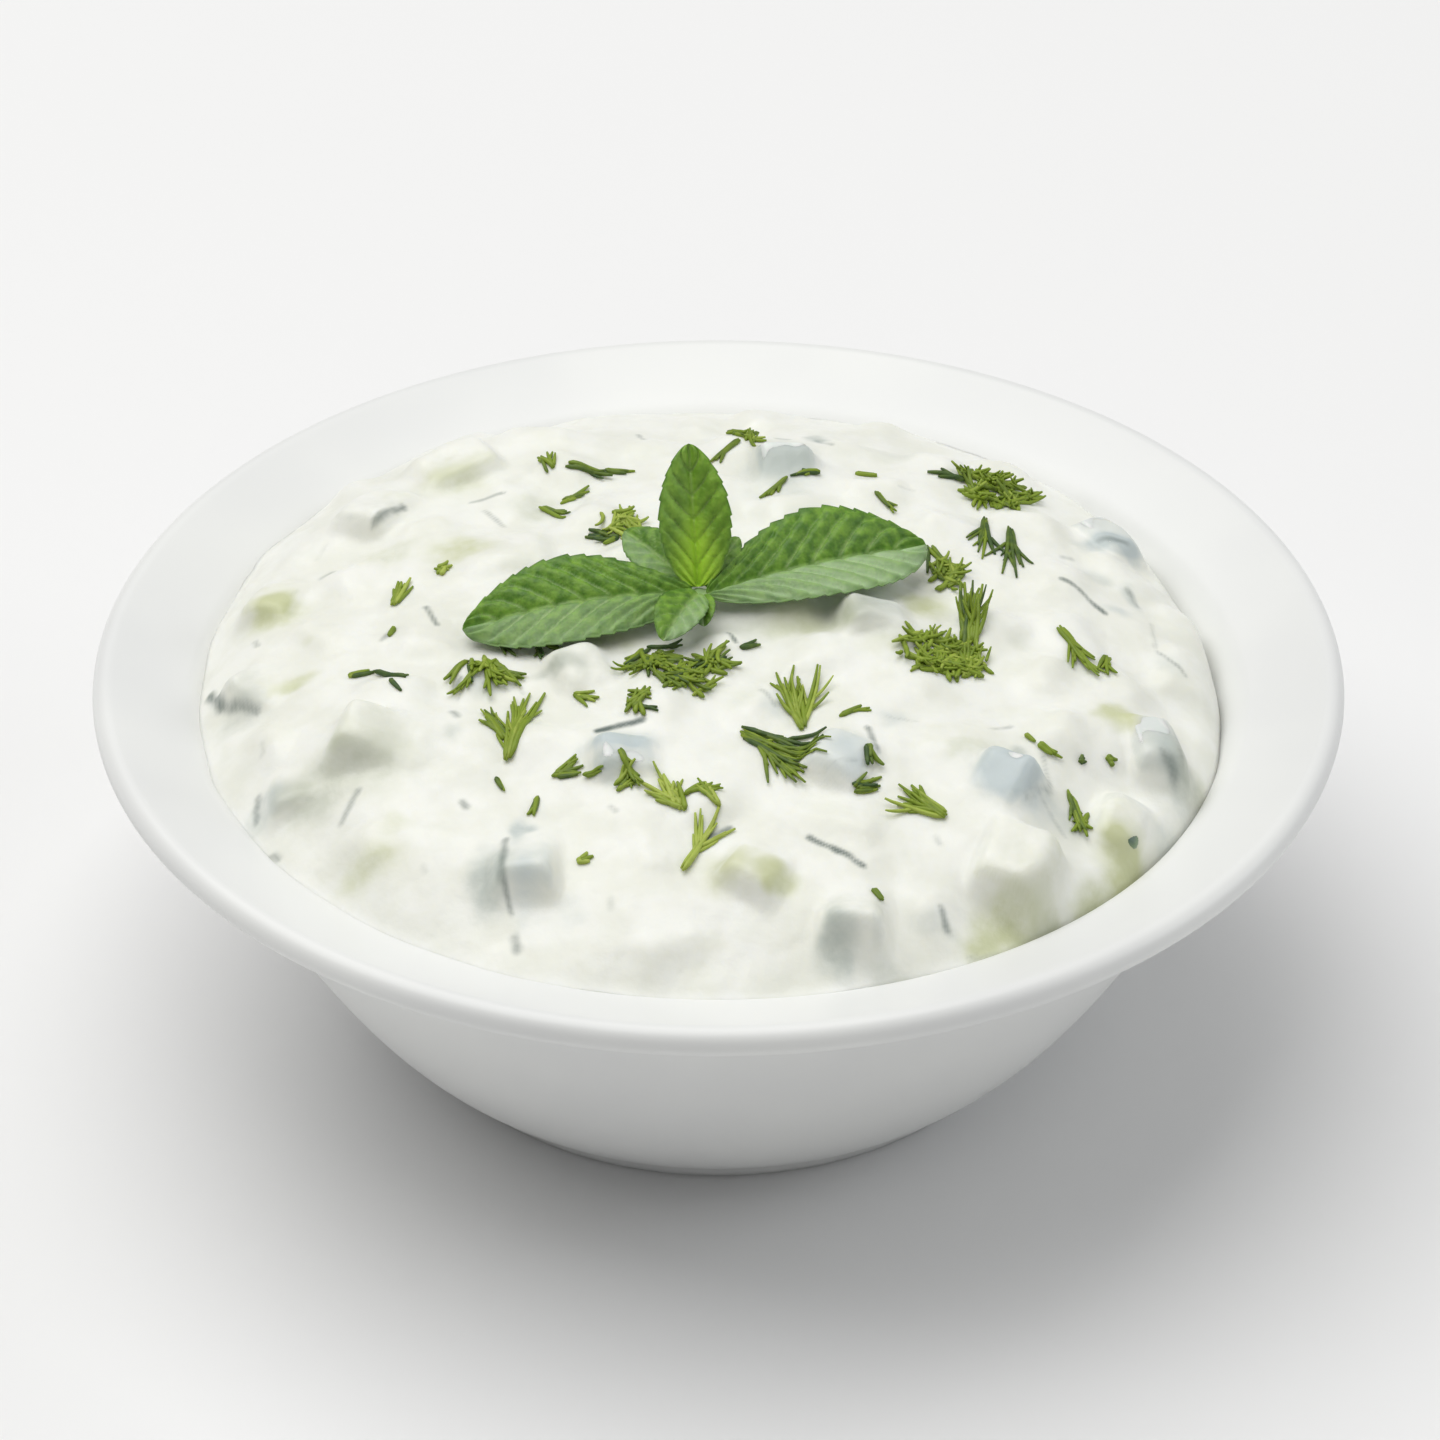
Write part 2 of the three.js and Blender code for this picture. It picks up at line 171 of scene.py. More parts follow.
class Recipe:
    """One material, built node by node round a Principled shader."""

    def __init__(self, name):
        self.material = bpy.data.materials.new(name)
        self.material.use_nodes = True
        self.tree = self.material.node_tree
        self.tree.nodes.clear()
        self.place = self.node("ShaderNodeTexCoord", out="Object")

    def node(self, kind, settings=None, sockets=None, out=0):
        made = self.tree.nodes.new(kind)
        for key, value in (settings or {}).items():
            setattr(made, key, value)
        for key, value in (sockets or {}).items():
            if isinstance(value, Value):
                self.tree.links.new(value.socket, made.inputs[key])
            else:
                made.inputs[key].default_value = value
        return Value(self, made.outputs[out])

    def attribute(self, name):
        return self.node("ShaderNodeAttribute", {"attribute_name": name}, out="Fac")

    def noise(self, size_mm, detail=2.0, roughness=0.5):
        sockets = {"Vector": self.place, "Scale": 1 / (size_mm * MM), "Detail": detail,
                   "Roughness": roughness}
        return self.node("ShaderNodeTexNoise", None, sockets, out="Fac")

    def mix(self, first, second, share):
        """From the first colour to the second, by share."""
        return self.node("ShaderNodeMix", {"data_type": "RGBA"}, {0: share, 6: first, 7: second}, out=2)

    def bump(self, height, depth_mm, strength=1.0):
        sockets = {"Height": height, "Distance": depth_mm * MM, "Strength": strength}
        return self.node("ShaderNodeBump", None, sockets)

    def surface(self, **sockets):
        names = {key.replace("_", " "): value for key, value in sockets.items()}
        shader = self.node("ShaderNodeBsdfPrincipled", None, names)
        self.node_output(shader)
        return self.material

    def node_output(self, shader):
        output = self.tree.nodes.new("ShaderNodeOutputMaterial")
        self.tree.links.new(shader.socket, output.inputs["Surface"])


def rgb(red, green, blue):
    """A colour from its 0 to 255 screen values, as the linear numbers that shaders use."""
    screen = np.array([red, green, blue]) / 255
    linear = np.where(screen <= 0.04045, screen / 12.92, ((screen + 0.055) / 1.055) ** 2.4)
    return (*linear.tolist(), 1.0)


# %% [markdown]
# ## The porcelain bowl
# The real bowl is thrown or pressed and then glazed, so it is a surface of revolution with
# every edge rounded. It could be a lathe of straight steps with a Bevel modifier. Here its
# outline is a chain of Bezier curves and an arc, turned round the axis, which gives a glaze
# with no facets in its reflections. The outline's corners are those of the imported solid.

# %% Draw the bowl's outline
BOWL_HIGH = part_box("bowl")[1]
RIM_R = round(BOWL_HIGH.x / MM, 1)
LIP_R = 1.9
LIP = np.array([RIM_R - LIP_R, 51.0])
FOOT = np.array([[0, 1.6], [35.2, 1.6], [36.2, 1.2], [36.8, 0.2],
                 [37.2, 0], [40.2, 0], [41.0, 0.4], [41.4, 1.4]])
WALL_OUT = np.array([[41.6, 2.2], [51.4, 8.2], [60.6, 26.0], [68.8, 44.6]])
RIM_UNDER = np.array([71.9, 45.6])
RIM_TOP = np.array([68.6, 49.35])
INNER_CORNER = np.array([66.7, 48.7])
WALL_IN = np.array([[30.0, 5.8], [49.5, 7.2], [58.3, 31.0], [65.2, 46.2]])
FLOOR_Z = 5.6


def bezier(corners, steps):
    """Points of a Bezier curve: each step blends the corners by the binomial weights of t."""
    t = np.linspace(0, 1, steps)[:, None]
    while len(corners) > 1:
        corners = [a * (1 - t) + b * t for a, b in zip(corners[:-1], corners[1:])]
    return corners[0]


lip_turn = np.radians(np.linspace(-82, 110, 30))[:, None]
lip = LIP + LIP_R * np.hstack([np.cos(lip_turn), np.sin(lip_turn)])
inside = np.vstack([bezier([lip[-1], RIM_TOP], 8), bezier([RIM_TOP, INNER_CORNER, WALL_IN[3]], 12)[1:],
                    bezier(list(WALL_IN[::-1]), 40)[1:],
                     bezier([WALL_IN[0], np.array([0, FLOOR_Z])], 10)[1:]])
outside = np.vstack([FOOT, bezier(list(WALL_OUT), 40), bezier([WALL_OUT[3], RIM_UNDER, lip[0]], 14)[1:]])
OUTLINE = np.vstack([outside, lip[1:], inside[1:]])
print("outline", len(OUTLINE), "points, rim radius", RIM_R)

# %% [markdown]
# The glaze is white with a soft gloss. Porcelain is never quite even: a very low, broad bump
# lets the reflections waver, and the roughness varies a little where hands have dulled it.

# %% Turn and glaze the bowl
BOWL_TURNS = 256


def turned(outline, turns):
    """A point of the outline (r, z) carried round the axis: (r cos t, r sin t, z)."""
    turn = np.arange(turns) * 2 * pi / turns
    r, z = outline[:, :1], outline[:, 1:]
    return np.stack([r * np.cos(turn), r * np.sin(turn), z + 0 * turn], -1).reshape(-1, 3)


def porcelain_finish():
    recipe = Recipe("white_glaze")
    waver = recipe.noise(22, 1.0)
    speck = recipe.noise(0.9, 2.0)
    colour = recipe.mix(rgb(230, 231, 230), rgb(235, 236, 234), recipe.noise(35, 2.0).between(0.35, 0.65))
    return recipe.surface(
        Base_Color=colour, Roughness=0.3 + 0.08 * speck, IOR=1.45, Normal=recipe.bump(waver, 0.2, 0.3))


bowl_points = turned(OUTLINE[1:-1], BOWL_TURNS)
bowl_points = np.vstack([bowl_points, [[0, 0, OUTLINE[0, 1]], [0, 0, OUTLINE[-1, 1]]]])
rings = len(OUTLINE) - 2
seam = np.arange(BOWL_TURNS)
following = (seam + 1) % BOWL_TURNS
under_cap = np.stack([np.full(BOWL_TURNS, rings * BOWL_TURNS), seam, following,
                      np.full(BOWL_TURNS, rings * BOWL_TURNS)], -1)
top_row = (rings - 1) * BOWL_TURNS
floor_cap = np.stack([np.full(BOWL_TURNS, rings * BOWL_TURNS + 1), top_row + following, top_row + seam,
                      np.full(BOWL_TURNS, rings * BOWL_TURNS + 1)], -1)
bowl_faces = np.vstack([grid_faces(rings, BOWL_TURNS, wrap=True), under_cap, floor_cap])
bowl = put_mesh("porcelain_bowl", bowl_points, bowl_faces, porcelain_finish(), "porcelain")
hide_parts("bowl")

# %% [markdown]
# ## Lumpy yoghurt: the heap
# Thick yoghurt holds a heap: a broad dome with round shoulders, and soft lumps where chunks
# lie under it. A sculpted mesh would do, but a height worked out from a formula can be asked
# for anywhere, and the herbs need that to lie on it. `ripple` is smooth noise; `heap` is the
# dome with its named lumps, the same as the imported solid's.

# %% Height of the heap
EDGE_R = 66.0
EDGE_Z = 48.2
HEAP_HEIGHT = 12.6
HEAP_POWER = 2.7
HEAP_SHOULDER = 0.78
SHOULDER_SWING = 0.1
STEEP_SIDE = radians(165)
RELIEF_FADE = 0.17
# x, y, radius, height of each lump, and last the crease where the dip falls from the rim
LUMPS = [
    (-35, 43, 9, 3.4), (-45, 27, 9, 2.8), (-20, 42, 9, 1.8), (10, 38, 8, 2.2), (13, 27, 8, 1.6),
    (30, 33, 9, 1.6), (49, 20, 8, 1.6), (-58, 11, 8, 2.6), (-30, 12, 10, 1.4), (-57, -10, 7, 1.6),
    (-43, -26, 9, 2.4), (-52, -31, 7, 1.4), (-40, -44, 9, 2.0), (-27, -49, 7, 1.6),
    (-12, -29, 8, 1.2), (22, -7, 8, 1.8), (17, -31, 7, 1.2), (37, -34, 8, 2.0), (52, -21, 8, 2.0),
    (54, 4, 8, 1.6), (36, -46, 11, 3.0), (15, -57, 8, 1.6), (3, -52, 9, 0.9), (-10, -58, 9, 0.8),
    (51, -38, 9, -3.4),
]


def ripple(x, y, size, seed):
    """Smooth noise from -1 to 1: random heights on a lattice turned at random and `size` mm
    apart, joined by the curve 6t^5 - 15t^4 + 10t^3, so that no lattice line shows."""
    draw = np.random.default_rng(seed)
    lattice = draw.uniform(-1, 1, (64, 64))
    turn = draw.uniform(0, pi)
    u = (x * cos(turn) - y * sin(turn)) / size + 320.5
    v = (x * sin(turn) + y * cos(turn)) / size + 320.5
    i, j = np.floor(u).astype(int), np.floor(v).astype(int)
    s, t = ((w * w * w * (w * (6 * w - 15) + 10)) for w in (u - i, v - j))
    near = lattice[i % 64, j % 64] * (1 - s) + lattice[(i + 1) % 64, j % 64] * s
    far = lattice[i % 64, (j + 1) % 64] * (1 - s) + lattice[(i + 1) % 64, (j + 1) % 64] * s
    return near * (1 - t) + far * t


def heap(x, y):
    """Dome (1 - q^p)^s of the share q of the radius, plus a Gaussian for each lump. The power
    s is smaller towards the steep side, where the dip bulges at the rim."""
    q = np.minimum(np.hypot(x, y) / EDGE_R, 1)
    shoulder = HEAP_SHOULDER - SHOULDER_SWING * np.cos(np.arctan2(y, x) - STEEP_SIDE)
    dome = HEAP_HEIGHT * (1 - q**HEAP_POWER) ** shoulder
    relief = sum(h * np.exp(-((x - cx) ** 2 + (y - cy) ** 2) / r**2) for cx, cy, r, h in LUMPS)
    return EDGE_Z + dome + relief * np.minimum(1, (1 - q) / RELIEF_FADE)


print("heap at the middle", round(float(heap(np.zeros(1), np.zeros(1))[0]), 2), "mm")

# %% [markdown]
# ## Cucumber under the film
# Each chunk is a convex solid, so it is wholly given by its flat sides. Its upper surface
# over a point is the lowest of its upward sides there, which is all that the yoghurt needs
# to drape over it.

# %% Read the chunks' sides from the frame
def flat_sides(name):
    """A chunk's planes: outward normals, distances and areas in mm, with its middle and skin.
    The skin is the side made of several planes that differ by only a few degrees."""
    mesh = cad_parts[name].data
    count = len(mesh.polygons)
    normals, centres, areas = np.empty(count * 3), np.empty(count * 3), np.empty(count)
    mesh.polygons.foreach_get("normal", normals)
    mesh.polygons.foreach_get("center", centres)
    mesh.polygons.foreach_get("area", areas)
    normals, centres = normals.reshape(-1, 3), centres.reshape(-1, 3) / MM
    _, first, same = np.unique(np.round(normals * 40), axis=0, return_index=True, return_inverse=True)
    area = np.bincount(same.ravel(), areas)
    normals, centres = normals[first], centres[first]
    alike = normals @ normals.T > cos(radians(24))
    skin = alike[np.argmax(np.where(alike.sum(1) >= 3, alike @ area, 0))]
    low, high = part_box(name)
    middle = np.array(low + high) / 2 / MM
    return {"name": name, "normals": normals, "distances": (normals * centres).sum(1),
            "skin": skin, "middle": middle, "radius": float((high - low).length) / 2 / MM}


CHUNKS = [flat_sides(name) for name in CHUNK_NODES]
print("sides a chunk:", [len(chunk["distances"]) for chunk in CHUNKS][:4])

# %% [markdown]
# Most chunks are stirred right in and are only lumps. These hidden ones are drawn at random
# from a fixed seed, as turned boxes, kept apart from each other and from the chunks that show.

# %% Scatter the hidden lumps
HIDDEN_COUNT = 60
HIDDEN_APART = 9.5


def turned_box(middle, half, turn):
    """The six planes of a box with those half sizes, turned by three angles about X, Y, Z."""
    spin = np.array(Matrix.Rotation(turn[2], 3, "Z") @ Matrix.Rotation(turn[1], 3, "Y")
                    @ Matrix.Rotation(turn[0], 3, "X"))
    normals = np.vstack([spin.T, -spin.T])
    distances = normals @ middle + np.tile(half, 2)
    return {"normals": normals, "distances": distances, "middle": middle,
            "radius": float(np.linalg.norm(half))}


def hidden_lumps(seed):
    """Turned boxes just under the heap's surface, each at least HIDDEN_APART from the others."""
    draw = np.random.default_rng(seed)
    taken = [chunk["middle"][:2] for chunk in CHUNKS]
    lumps = []
    for _ in range(4000):
        r, turn = 60 * np.sqrt(draw.uniform()), draw.uniform(0, 2 * pi)
        spot = np.array([r * cos(turn), r * sin(turn)])
        if min(np.hypot(*(spot - other)) for other in taken) < HIDDEN_APART or len(lumps) == HIDDEN_COUNT:
            continue
        half = draw.uniform([2.6, 2.6, 2.4], [5.4, 4.6, 4.4])
        z = float(heap(spot[:1], spot[1:])[0]) - half[2] + draw.uniform(-0.6, 0.7)
        turns = (draw.normal(0, 0.3), draw.normal(0, 0.3), draw.uniform(0, pi))
        lumps.append(turned_box(np.array([*spot, z]), half, turns))
        taken.append(spot)
    return lumps


HIDDEN = hidden_lumps(5)
print("hidden lumps", len(HIDDEN))

# %% [markdown]
# The dip's edge isn't a circle. It sits in the bend between wall and rim, spreads on to the
# rim at the front left, and falls back into the bowl at the front right. Its place is given
# as a distance along the bowl's own inside outline, so that it always touches porcelain.

# %% Where the dip meets the bowl
SINK = 0.12
# direction in degrees, how wide the swing is, and how far it goes out (+) or down the wall (-)
EDGE_SWINGS = [(-128, 30, 1.3), (-178, 18, -0.7), (142, 22, 0.6), (-40, 13, -4.0), (-62, 14, -1.4),
               (6, 34, -5.0), (90, 40, -0.3), (-95, 20, 0.5)]
inside_run = np.concatenate([[0], np.cumsum(np.hypot(*np.diff(inside, axis=0).T))])
corner_run = inside_run[np.argmin(np.hypot(*(inside - INNER_CORNER).T))]
tangent = np.gradient(inside, axis=0)
into_wall = np.stack([-tangent[:, 1], tangent[:, 0]], -1)
into_wall /= np.maximum(np.hypot(*into_wall.T), 1e-9)[:, None]
into_wall *= np.where((into_wall * [1, -1]).sum(1) > 0, 1, -1)[:, None]


def on_bowl(run):
    """The point (r, z) of the inside outline at that distance from its inner corner, sunk a
    hair into the porcelain; positive distances go out along the rim."""
    at = corner_run - run
    sunk = inside + SINK * into_wall
    return np.interp(at, inside_run, sunk[:, 0]), np.interp(at, inside_run, sunk[:, 1])


def edge_run(turn):
    """Sum of smooth bumps round the bowl, with a fine waver."""
    run = 0.25 * np.sin(11 * turn + 0.6) * np.sin(4 * turn) + 0.2 * np.sin(23 * turn + 2.1)
    for degrees, width, reach in EDGE_SWINGS:
        away = (np.degrees(turn) - degrees + 180) % 360 - 180
        run = run + reach * np.exp(-((away / width) ** 2))
    return run


edge_r = on_bowl(edge_run(np.linspace(-pi, pi, 721)))[0]
print("edge radius", round(edge_r.min(), 1), "to", round(edge_r.max(), 1))

# %% [markdown]
# ## A height map of the dip
# Yoghurt drapes over what lies in it and then levels itself out a little. Both are easy on a
# square map of heights: draping is a smooth maximum of two heights, and levelling is a blur.
# The map's cells are about a third of a millimetre, finer than anything yoghurt can hold.

# %% Map helpers
CELL = 0.35
marks = np.arange(-203, 204) * CELL
map_x, map_y = np.meshgrid(marks, marks, indexing="ij")


def level(field, spread):
    """Gaussian blur as the product G F G', where each row of G is a bell about its own mark."""
    bell = np.exp(-(((marks[:, None] - marks) / spread) ** 2) / 2)
    bell /= bell.sum(1, keepdims=True)
    return bell @ field @ bell.T


def sample(field, x, y):
    """The map's value at any places: the four marks round each, weighed by nearness."""
    u, v = (x - marks[0]) / CELL, (y - marks[0]) / CELL
    i = np.clip(np.floor(u).astype(int), 0, len(marks) - 2)
    j = np.clip(np.floor(v).astype(int), 0, len(marks) - 2)
    s, t = u - i, v - j
    near = field[i, j] * (1 - t) + field[i, j + 1] * t
    far = field[i + 1, j] * (1 - t) + field[i + 1, j + 1] * t
    return near * (1 - s) + far * s


def smooth_max(a, b, width):
    """The larger of two heights, with the corner between them rounded over `width`."""
    meet = np.maximum(width - np.abs(a - b), 0) / width
    return np.maximum(a, b) + meet * meet * width / 4


def tops(solids, soft):
    """Map of the highest top of the convex solids: the lowest upward plane of each, rounded
    where planes meet, falling away past a sheer side. Far from all of them it is very low."""
    field = np.full(map_x.shape, -50.0)
    for solid in solids:
        x0, y0, _ = solid["middle"]
        near = np.hypot(map_x - x0, map_y - y0) < solid["radius"] + 2
        x, y = map_x[near], map_y[near]
        normals, distances = solid["normals"], solid["distances"]
        up = normals[:, 2] > 0.03
        flat = np.stack([x, y], -1) @ normals[up, :2].T
        heights = np.clip((distances[up] - flat) / normals[up, 2], -60, 160)
        lowest = heights.min(-1)
        top = lowest - soft * np.log(np.exp((lowest[:, None] - heights) / soft).sum(-1))
        beyond = (np.stack([x, y, top], -1) @ normals[~up].T - distances[~up]).max(-1)
        field[near] = np.maximum(field[near], top - 4 * np.maximum(beyond, 0))
    return field


print("map", map_x.shape)

# %% [markdown]
# The film is thick over most chunks and nearly gone over a few, whose wet faces look out of
# the yoghurt. The map keeps its own thickness over cucumber, for the colours.

# %% Drape and level the yoghurt
FILM = 0.85
FILM_SWING = 0.45
# chunks that look out of the yoghurt have a thinner film; a value below zero is a thicker one
THINNER = {
    "cucumber_01": 0.7, "cucumber_02": 0.75, "cucumber_03": 0.05, "cucumber_05": -0.2,
    "cucumber_08": 0.6, "cucumber_10": 0.2, "cucumber_11": 0.25, "cucumber_12": 0.65,
    "cucumber_13": 0.65, "cucumber_14": 0.1, "cucumber_16": -0.3, "cucumber_18": -0.6,
}


def drape():
    """Heap, then hidden lumps blurred in, then each chunk's film, then a light levelling."""
    turn = np.arctan2(map_y, map_x)
    squeeze = EDGE_R / on_bowl(edge_run(turn))[0]
    z = heap(map_x * squeeze, map_y * squeeze)
    z = z + 0.75 * ripple(map_x, map_y, 9, 1) + 0.35 * ripple(map_x, map_y, 5, 2)
    lumps = tops(HIDDEN, 0.9) + 0.5
    z = level(smooth_max(z - 0.45, np.minimum(lumps, z + 1.3), 2.0), 0.9)
    bare = tops(CHUNKS, 0.45)
    swing = FILM_SWING * ripple(map_x, map_y, 3.6, 7)
    for chunk in CHUNKS:
        top = tops([chunk], 0.45)
        z = smooth_max(z, top + FILM - THINNER.get(chunk["name"], 0) + swing, 1.8)
    z = level(z, 0.62)
    z = z + 0.1 * ripple(map_x, map_y, 2.3, 3) + 0.05 * ripple(map_x, map_y, 1.2, 4)
    return z, level(np.clip(z - bare, -1, 3), 0.5)


dip_z, dip_cover = drape()
print("dip heights", round(dip_z.min(), 1), "to", round(dip_z.max(), 1), "mm")

# %% [markdown]
# ## What shows through the film, and painted shade
# Cucumber and dill under a thin film show as soft patches and strokes: flesh is blue-grey or
# yellow-green, a chunk's cut skin is a thin dark line, and sunken dill a grey-green dash.
# Some patches are painted shade instead: grey and yellow-green ones in the hollows, under the
# mint's right leaf, and in the crease by the rim at the front right.
# Modelling each under a see-through skin would look the same and cost far more, so they are
# colour on the map. Each row was placed on the dip.

# %% Patches of tint and painted shade, and strokes
# x, y, half width, half depth, turn in degrees, hue from 0 blue through 0.5 grey to 1 yellow, strength;
# the grey is painted shade, and so are the rows at (12.5, -4.5) under the right leaf, (31, -29),
# (59.5, -23.5) by the right rim, and (47, -46.5) and (50.5, -39.5) in the crease at the front right
TINT_AND_SHADE_PATCHES = [
    (-57, 6, 3.6, 3.2, 30, 1, 0.95), (-54, -10.5, 3.4, 1.8, 20, 1, 0.75), (-53, -2.5, 1.1, 1, 0, 1, 0.4),
    (-35, 33, 5, 3, 10, 0.9, 0.55), (-33, 13.5, 4.6, 3.6, 20, 1, 0.7),
    (-42.5, 15.5, 4.6, 2.6, 15, 0.8, 0.45), (-24, 26, 4, 3, 0, 0.7, 0.5),
    (-15, -8, 6.5, 2.8, 0, 0.85, 0.7), (-20, -14.5, 3, 1.5, 0, 0.5, 0.8),
    (-43.5, -30.5, 9, 6.5, 15, 0.75, 0.4), (-43, -32, 3.4, 2.6, 30, 0.6, 0.25),
    (-50.5, -33, 4, 3.4, 0, 0.6, 0.5), (-56.5, -32, 3, 2.6, 60, 0.2, 0.5),
    (-60.5, -13, 3.4, 2.8, -40, 0.4, 0.45), (-42, -46, 4.4, 3.2, 0, 1, 0.6),
    (-39, -41.5, 2.2, 1.4, 20, 0.9, 0.4), (-28, -51, 2.8, 4.4, 5, 0.3, 0.85),
    (-24, -44, 1.4, 2.6, -5, 0.2, 0.85), (-23, -53, 1.8, 4.5, 0, 0.1, 0.45),
    (-18, -56, 2.5, 2.2, 40, 0.15, 0.3), (-12, -30, 4.2, 3.2, 5, 0, 0.85),
    (-13, -35.5, 3, 1.7, 0, 0.25, 0.6), (-17, -32, 1, 2.4, 0, 0.1, 0.35), (-30, -17, 2.2, 2, 0, 0.2, 0.5),
    (-33, -25.5, 1.6, 2.2, 0, 0.3, 0.5), (8.5, 33.5, 5.4, 7.5, 0, 0.25, 0.75),
    (12.5, 44, 1.8, 2.2, 0, 0.3, 0.8), (23.5, 40.5, 6, 3, 0, 0.3, 0.3),
    (20, -3.5, 4.6, 4.6, 0, 0.15, 0.45), (26.5, 2, 3.2, 3.6, 0, 1, 0.85),
    (12.5, -4.5, 8.5, 3.4, 0, 0.85, 0.7), (22, -10, 6, 2.6, 0, 0.8, 0.4), (38, -4, 2.4, 2, 0, 0.7, 0.3),
    (37, 17.5, 1.4, 3.6, 0, 0, 0.6), (51.5, 24, 4.2, 1.8, 30, 0.1, 0.95),
    (49.5, 22.5, 3.4, 2, 0, 0.2, 0.4), (49.5, 14.5, 2.4, 1.8, -20, 0.25, 0.45),
    (53.5, 11.5, 1.3, 2.8, 15, 0.25, 0.6), (51, 6, 2.4, 1.4, 0, 0.15, 0.5),
    (57.5, -3, 2.6, 2, -30, 0.2, 0.4), (50, -18.5, 2.8, 2.4, 0, 1, 0.95), (56.5, -24, 3, 5, 10, 0.25, 0.7),
    (36, -35, 5, 5, 10, 0.05, 0.85), (37, -27.5, 1.6, 1.4, 0, 0.3, 0.8),
    (31, -29, 4.6, 1.8, 25, 0.8, 0.45), (16, -33, 3.6, 4, 0, 0, 0.5), (21.5, -24, 2.6, 1.8, 0, 0.2, 0.5),
    (6.5, -21.5, 1.8, 2.6, 0, 0.05, 0.45), (1, -52, 4, 3.4, 0, 1, 0.6), (7, -53, 3, 2.2, 10, 1, 0.75),
    (14, -60.5, 2.4, 3.2, 0, 0.3, 0.75), (20, -62, 3.6, 1.6, 0, 0.35, 0.45),
    (25.5, -56, 2.6, 1.6, 0, 0.2, 0.35), (34, -55, 5.5, 2.6, 15, 0.9, 0.9),
    (41, -52, 3.4, 2, 25, 0.75, 0.8), (47, -46.5, 3.2, 4.6, -40, 0.85, 1),
    (50.5, -39.5, 4, 3.4, 20, 0.95, 1), (57, -33, 3.4, 2.4, 30, 0.2, 0.5),
    (59.5, -23.5, 2.8, 3.4, 0, 0.75, 0.6), (35, -51.5, 7, 5, 0, 0.95, 0.2), (-5, -62.5, 7, 2, 0, 0.5, 0.1),
    (43, -36.5, 2.4, 3, 0, 0.2, 0.35), (2, -5.5, 4, 3, 0, 0.4, 0.35),
]
# start x, y, end x, y, half width, strength
STROKES = [
    (-32.8, 28, -28.2, 28.6, 0.5, 0.55), (-30.8, 25.4, -28, 21, 0.5, 0.5),
    (-41.2, 25.6, -45, 20.6, 0.6, 0.65), (-51.2, 21, -52.4, 18, 0.6, 0.3),
    (-51.4, 12.6, -50, 13.8, 0.7, 0.5), (-55.2, 8.6, -54.4, 10, 0.6, 0.35),
    (-37.4, 1.6, -35.8, -2.6, 0.5, 0.7), (-41.4, -2.2, -42.8, -4.2, 0.6, 0.55),
    (-10.8, 47.4, -10, 44, 0.5, 0.6), (-32.4, -15.2, -33, -17, 0.6, 0.7),
    (-33, -21.2, -32.4, -22.4, 0.8, 0.6), (-29, -16, -28, -16.2, 0.8, 0.3),
    (-44.2, -34.8, -46.2, -38.4, 0.6, 0.55), (-57, -21.4, -56.8, -23, 0.7, 0.35),
    (-54.8, -38.6, -54.2, -39.4, 0.7, 0.6), (-31.4, -37.8, -30.8, -38.6, 0.7, 0.65),
    (-13, -41, -12.6, -41.8, 0.7, 0.5), (-24.4, -58.6, -24, -60, 0.9, 0.6),
    (-13, -55.4, -12.8, -56.6, 0.8, 0.35), (-35.8, -48.2, -35.4, -49, 0.7, 0.3),
    (-1.4, -45.6, 1.4, -44, 0.6, 0.8), (11, -45.4, 17.4, -49.6, 0.6, 0.85),
    (26.8, -54.4, 27.4, -56, 0.7, 0.7), (26.4, -44, 26.8, -45, 0.7, 0.4),
    (39.8, -36, 42.4, -39.2, 0.7, 0.4), (33.8, -24.4, 36.4, -22.8, 0.5, 0.45),
    (44.2, 9.6, 46.6, 8.4, 0.45, 0.8), (46.6, 8.4, 49.8, 5.6, 0.5, 0.85), (44.8, 17.4, 46, 17.6, 0.7, 0.5),
    (53, 13, 54.4, 10, 0.6, 0.5), (55.8, 6, 56, -0.2, 0.5, 0.4), (56, -0.6, 59.6, -4.8, 0.5, 0.55),
    (5.2, -19.4, 7, -22.4, 0.6, 0.5), (21, -24, 24.6, -24.2, 0.5, 0.35), (1.2, -6.6, 2.2, -9.2, 0.45, 0.8),
    (-59.4, 1.4, -59, 0.2, 0.6, 0.5), (-13.4, -14, -13, -14.4, 0.6, 0.5),
    (-24.8, -16.8, -24.4, -17.6, 0.5, 0.4), (13.2, 43, 15.2, 40.8, 0.6, 0.5),
    (7.8, 42.2, 9.4, 42.2, 0.6, 0.5), (23.8, 28.6, 25.8, 28.8, 0.5, 0.35),
    (-43.6, 14.4, -43, 13, 0.5, 0.3), (-65, -4.8, -63, -9.8, 0.75, 0.8), (-63, -9.8, -58, -14, 0.7, 0.6),
    (-25.8, -45.6, -26, -52.6, 0.7, 0.6), (-26, -52.6, -24.8, -55.6, 0.5, 0.6),
    (-15, -27.2, -9.4, -25.2, 0.6, 0.95), (-57.2, -28.8, -57.2, -32.2, 0.7, 0.55),
    (18.4, -27, 19.6, -32.2, 0.6, 0.65), (13, -35.6, 16.8, -34.8, 0.4, 0.35),
    (40.2, -27.4, 40.8, -33.2, 0.6, 0.5), (37.6, -38.2, 40.4, -34, 0.5, 0.45),
    (57.2, -18.4, 57.8, -24.2, 0.5, 0.5), (55.4, -24.6, 56.8, -25.4, 0.9, 0.55),
    (50.8, -43.2, 52.8, -42, 1.2, 0.95), (53.2, -41.4, 56.4, -37.8, 1, 0.8),
    (57.8, -36.2, 62, -29, 0.9, 0.7), (50, 23.6, 53.8, 24.6, 0.6, 0.6), (41, -53.6, 45.8, -50, 0.7, 0.5),
    (30, -58.2, 40, -54, 0.6, 0.4),
]


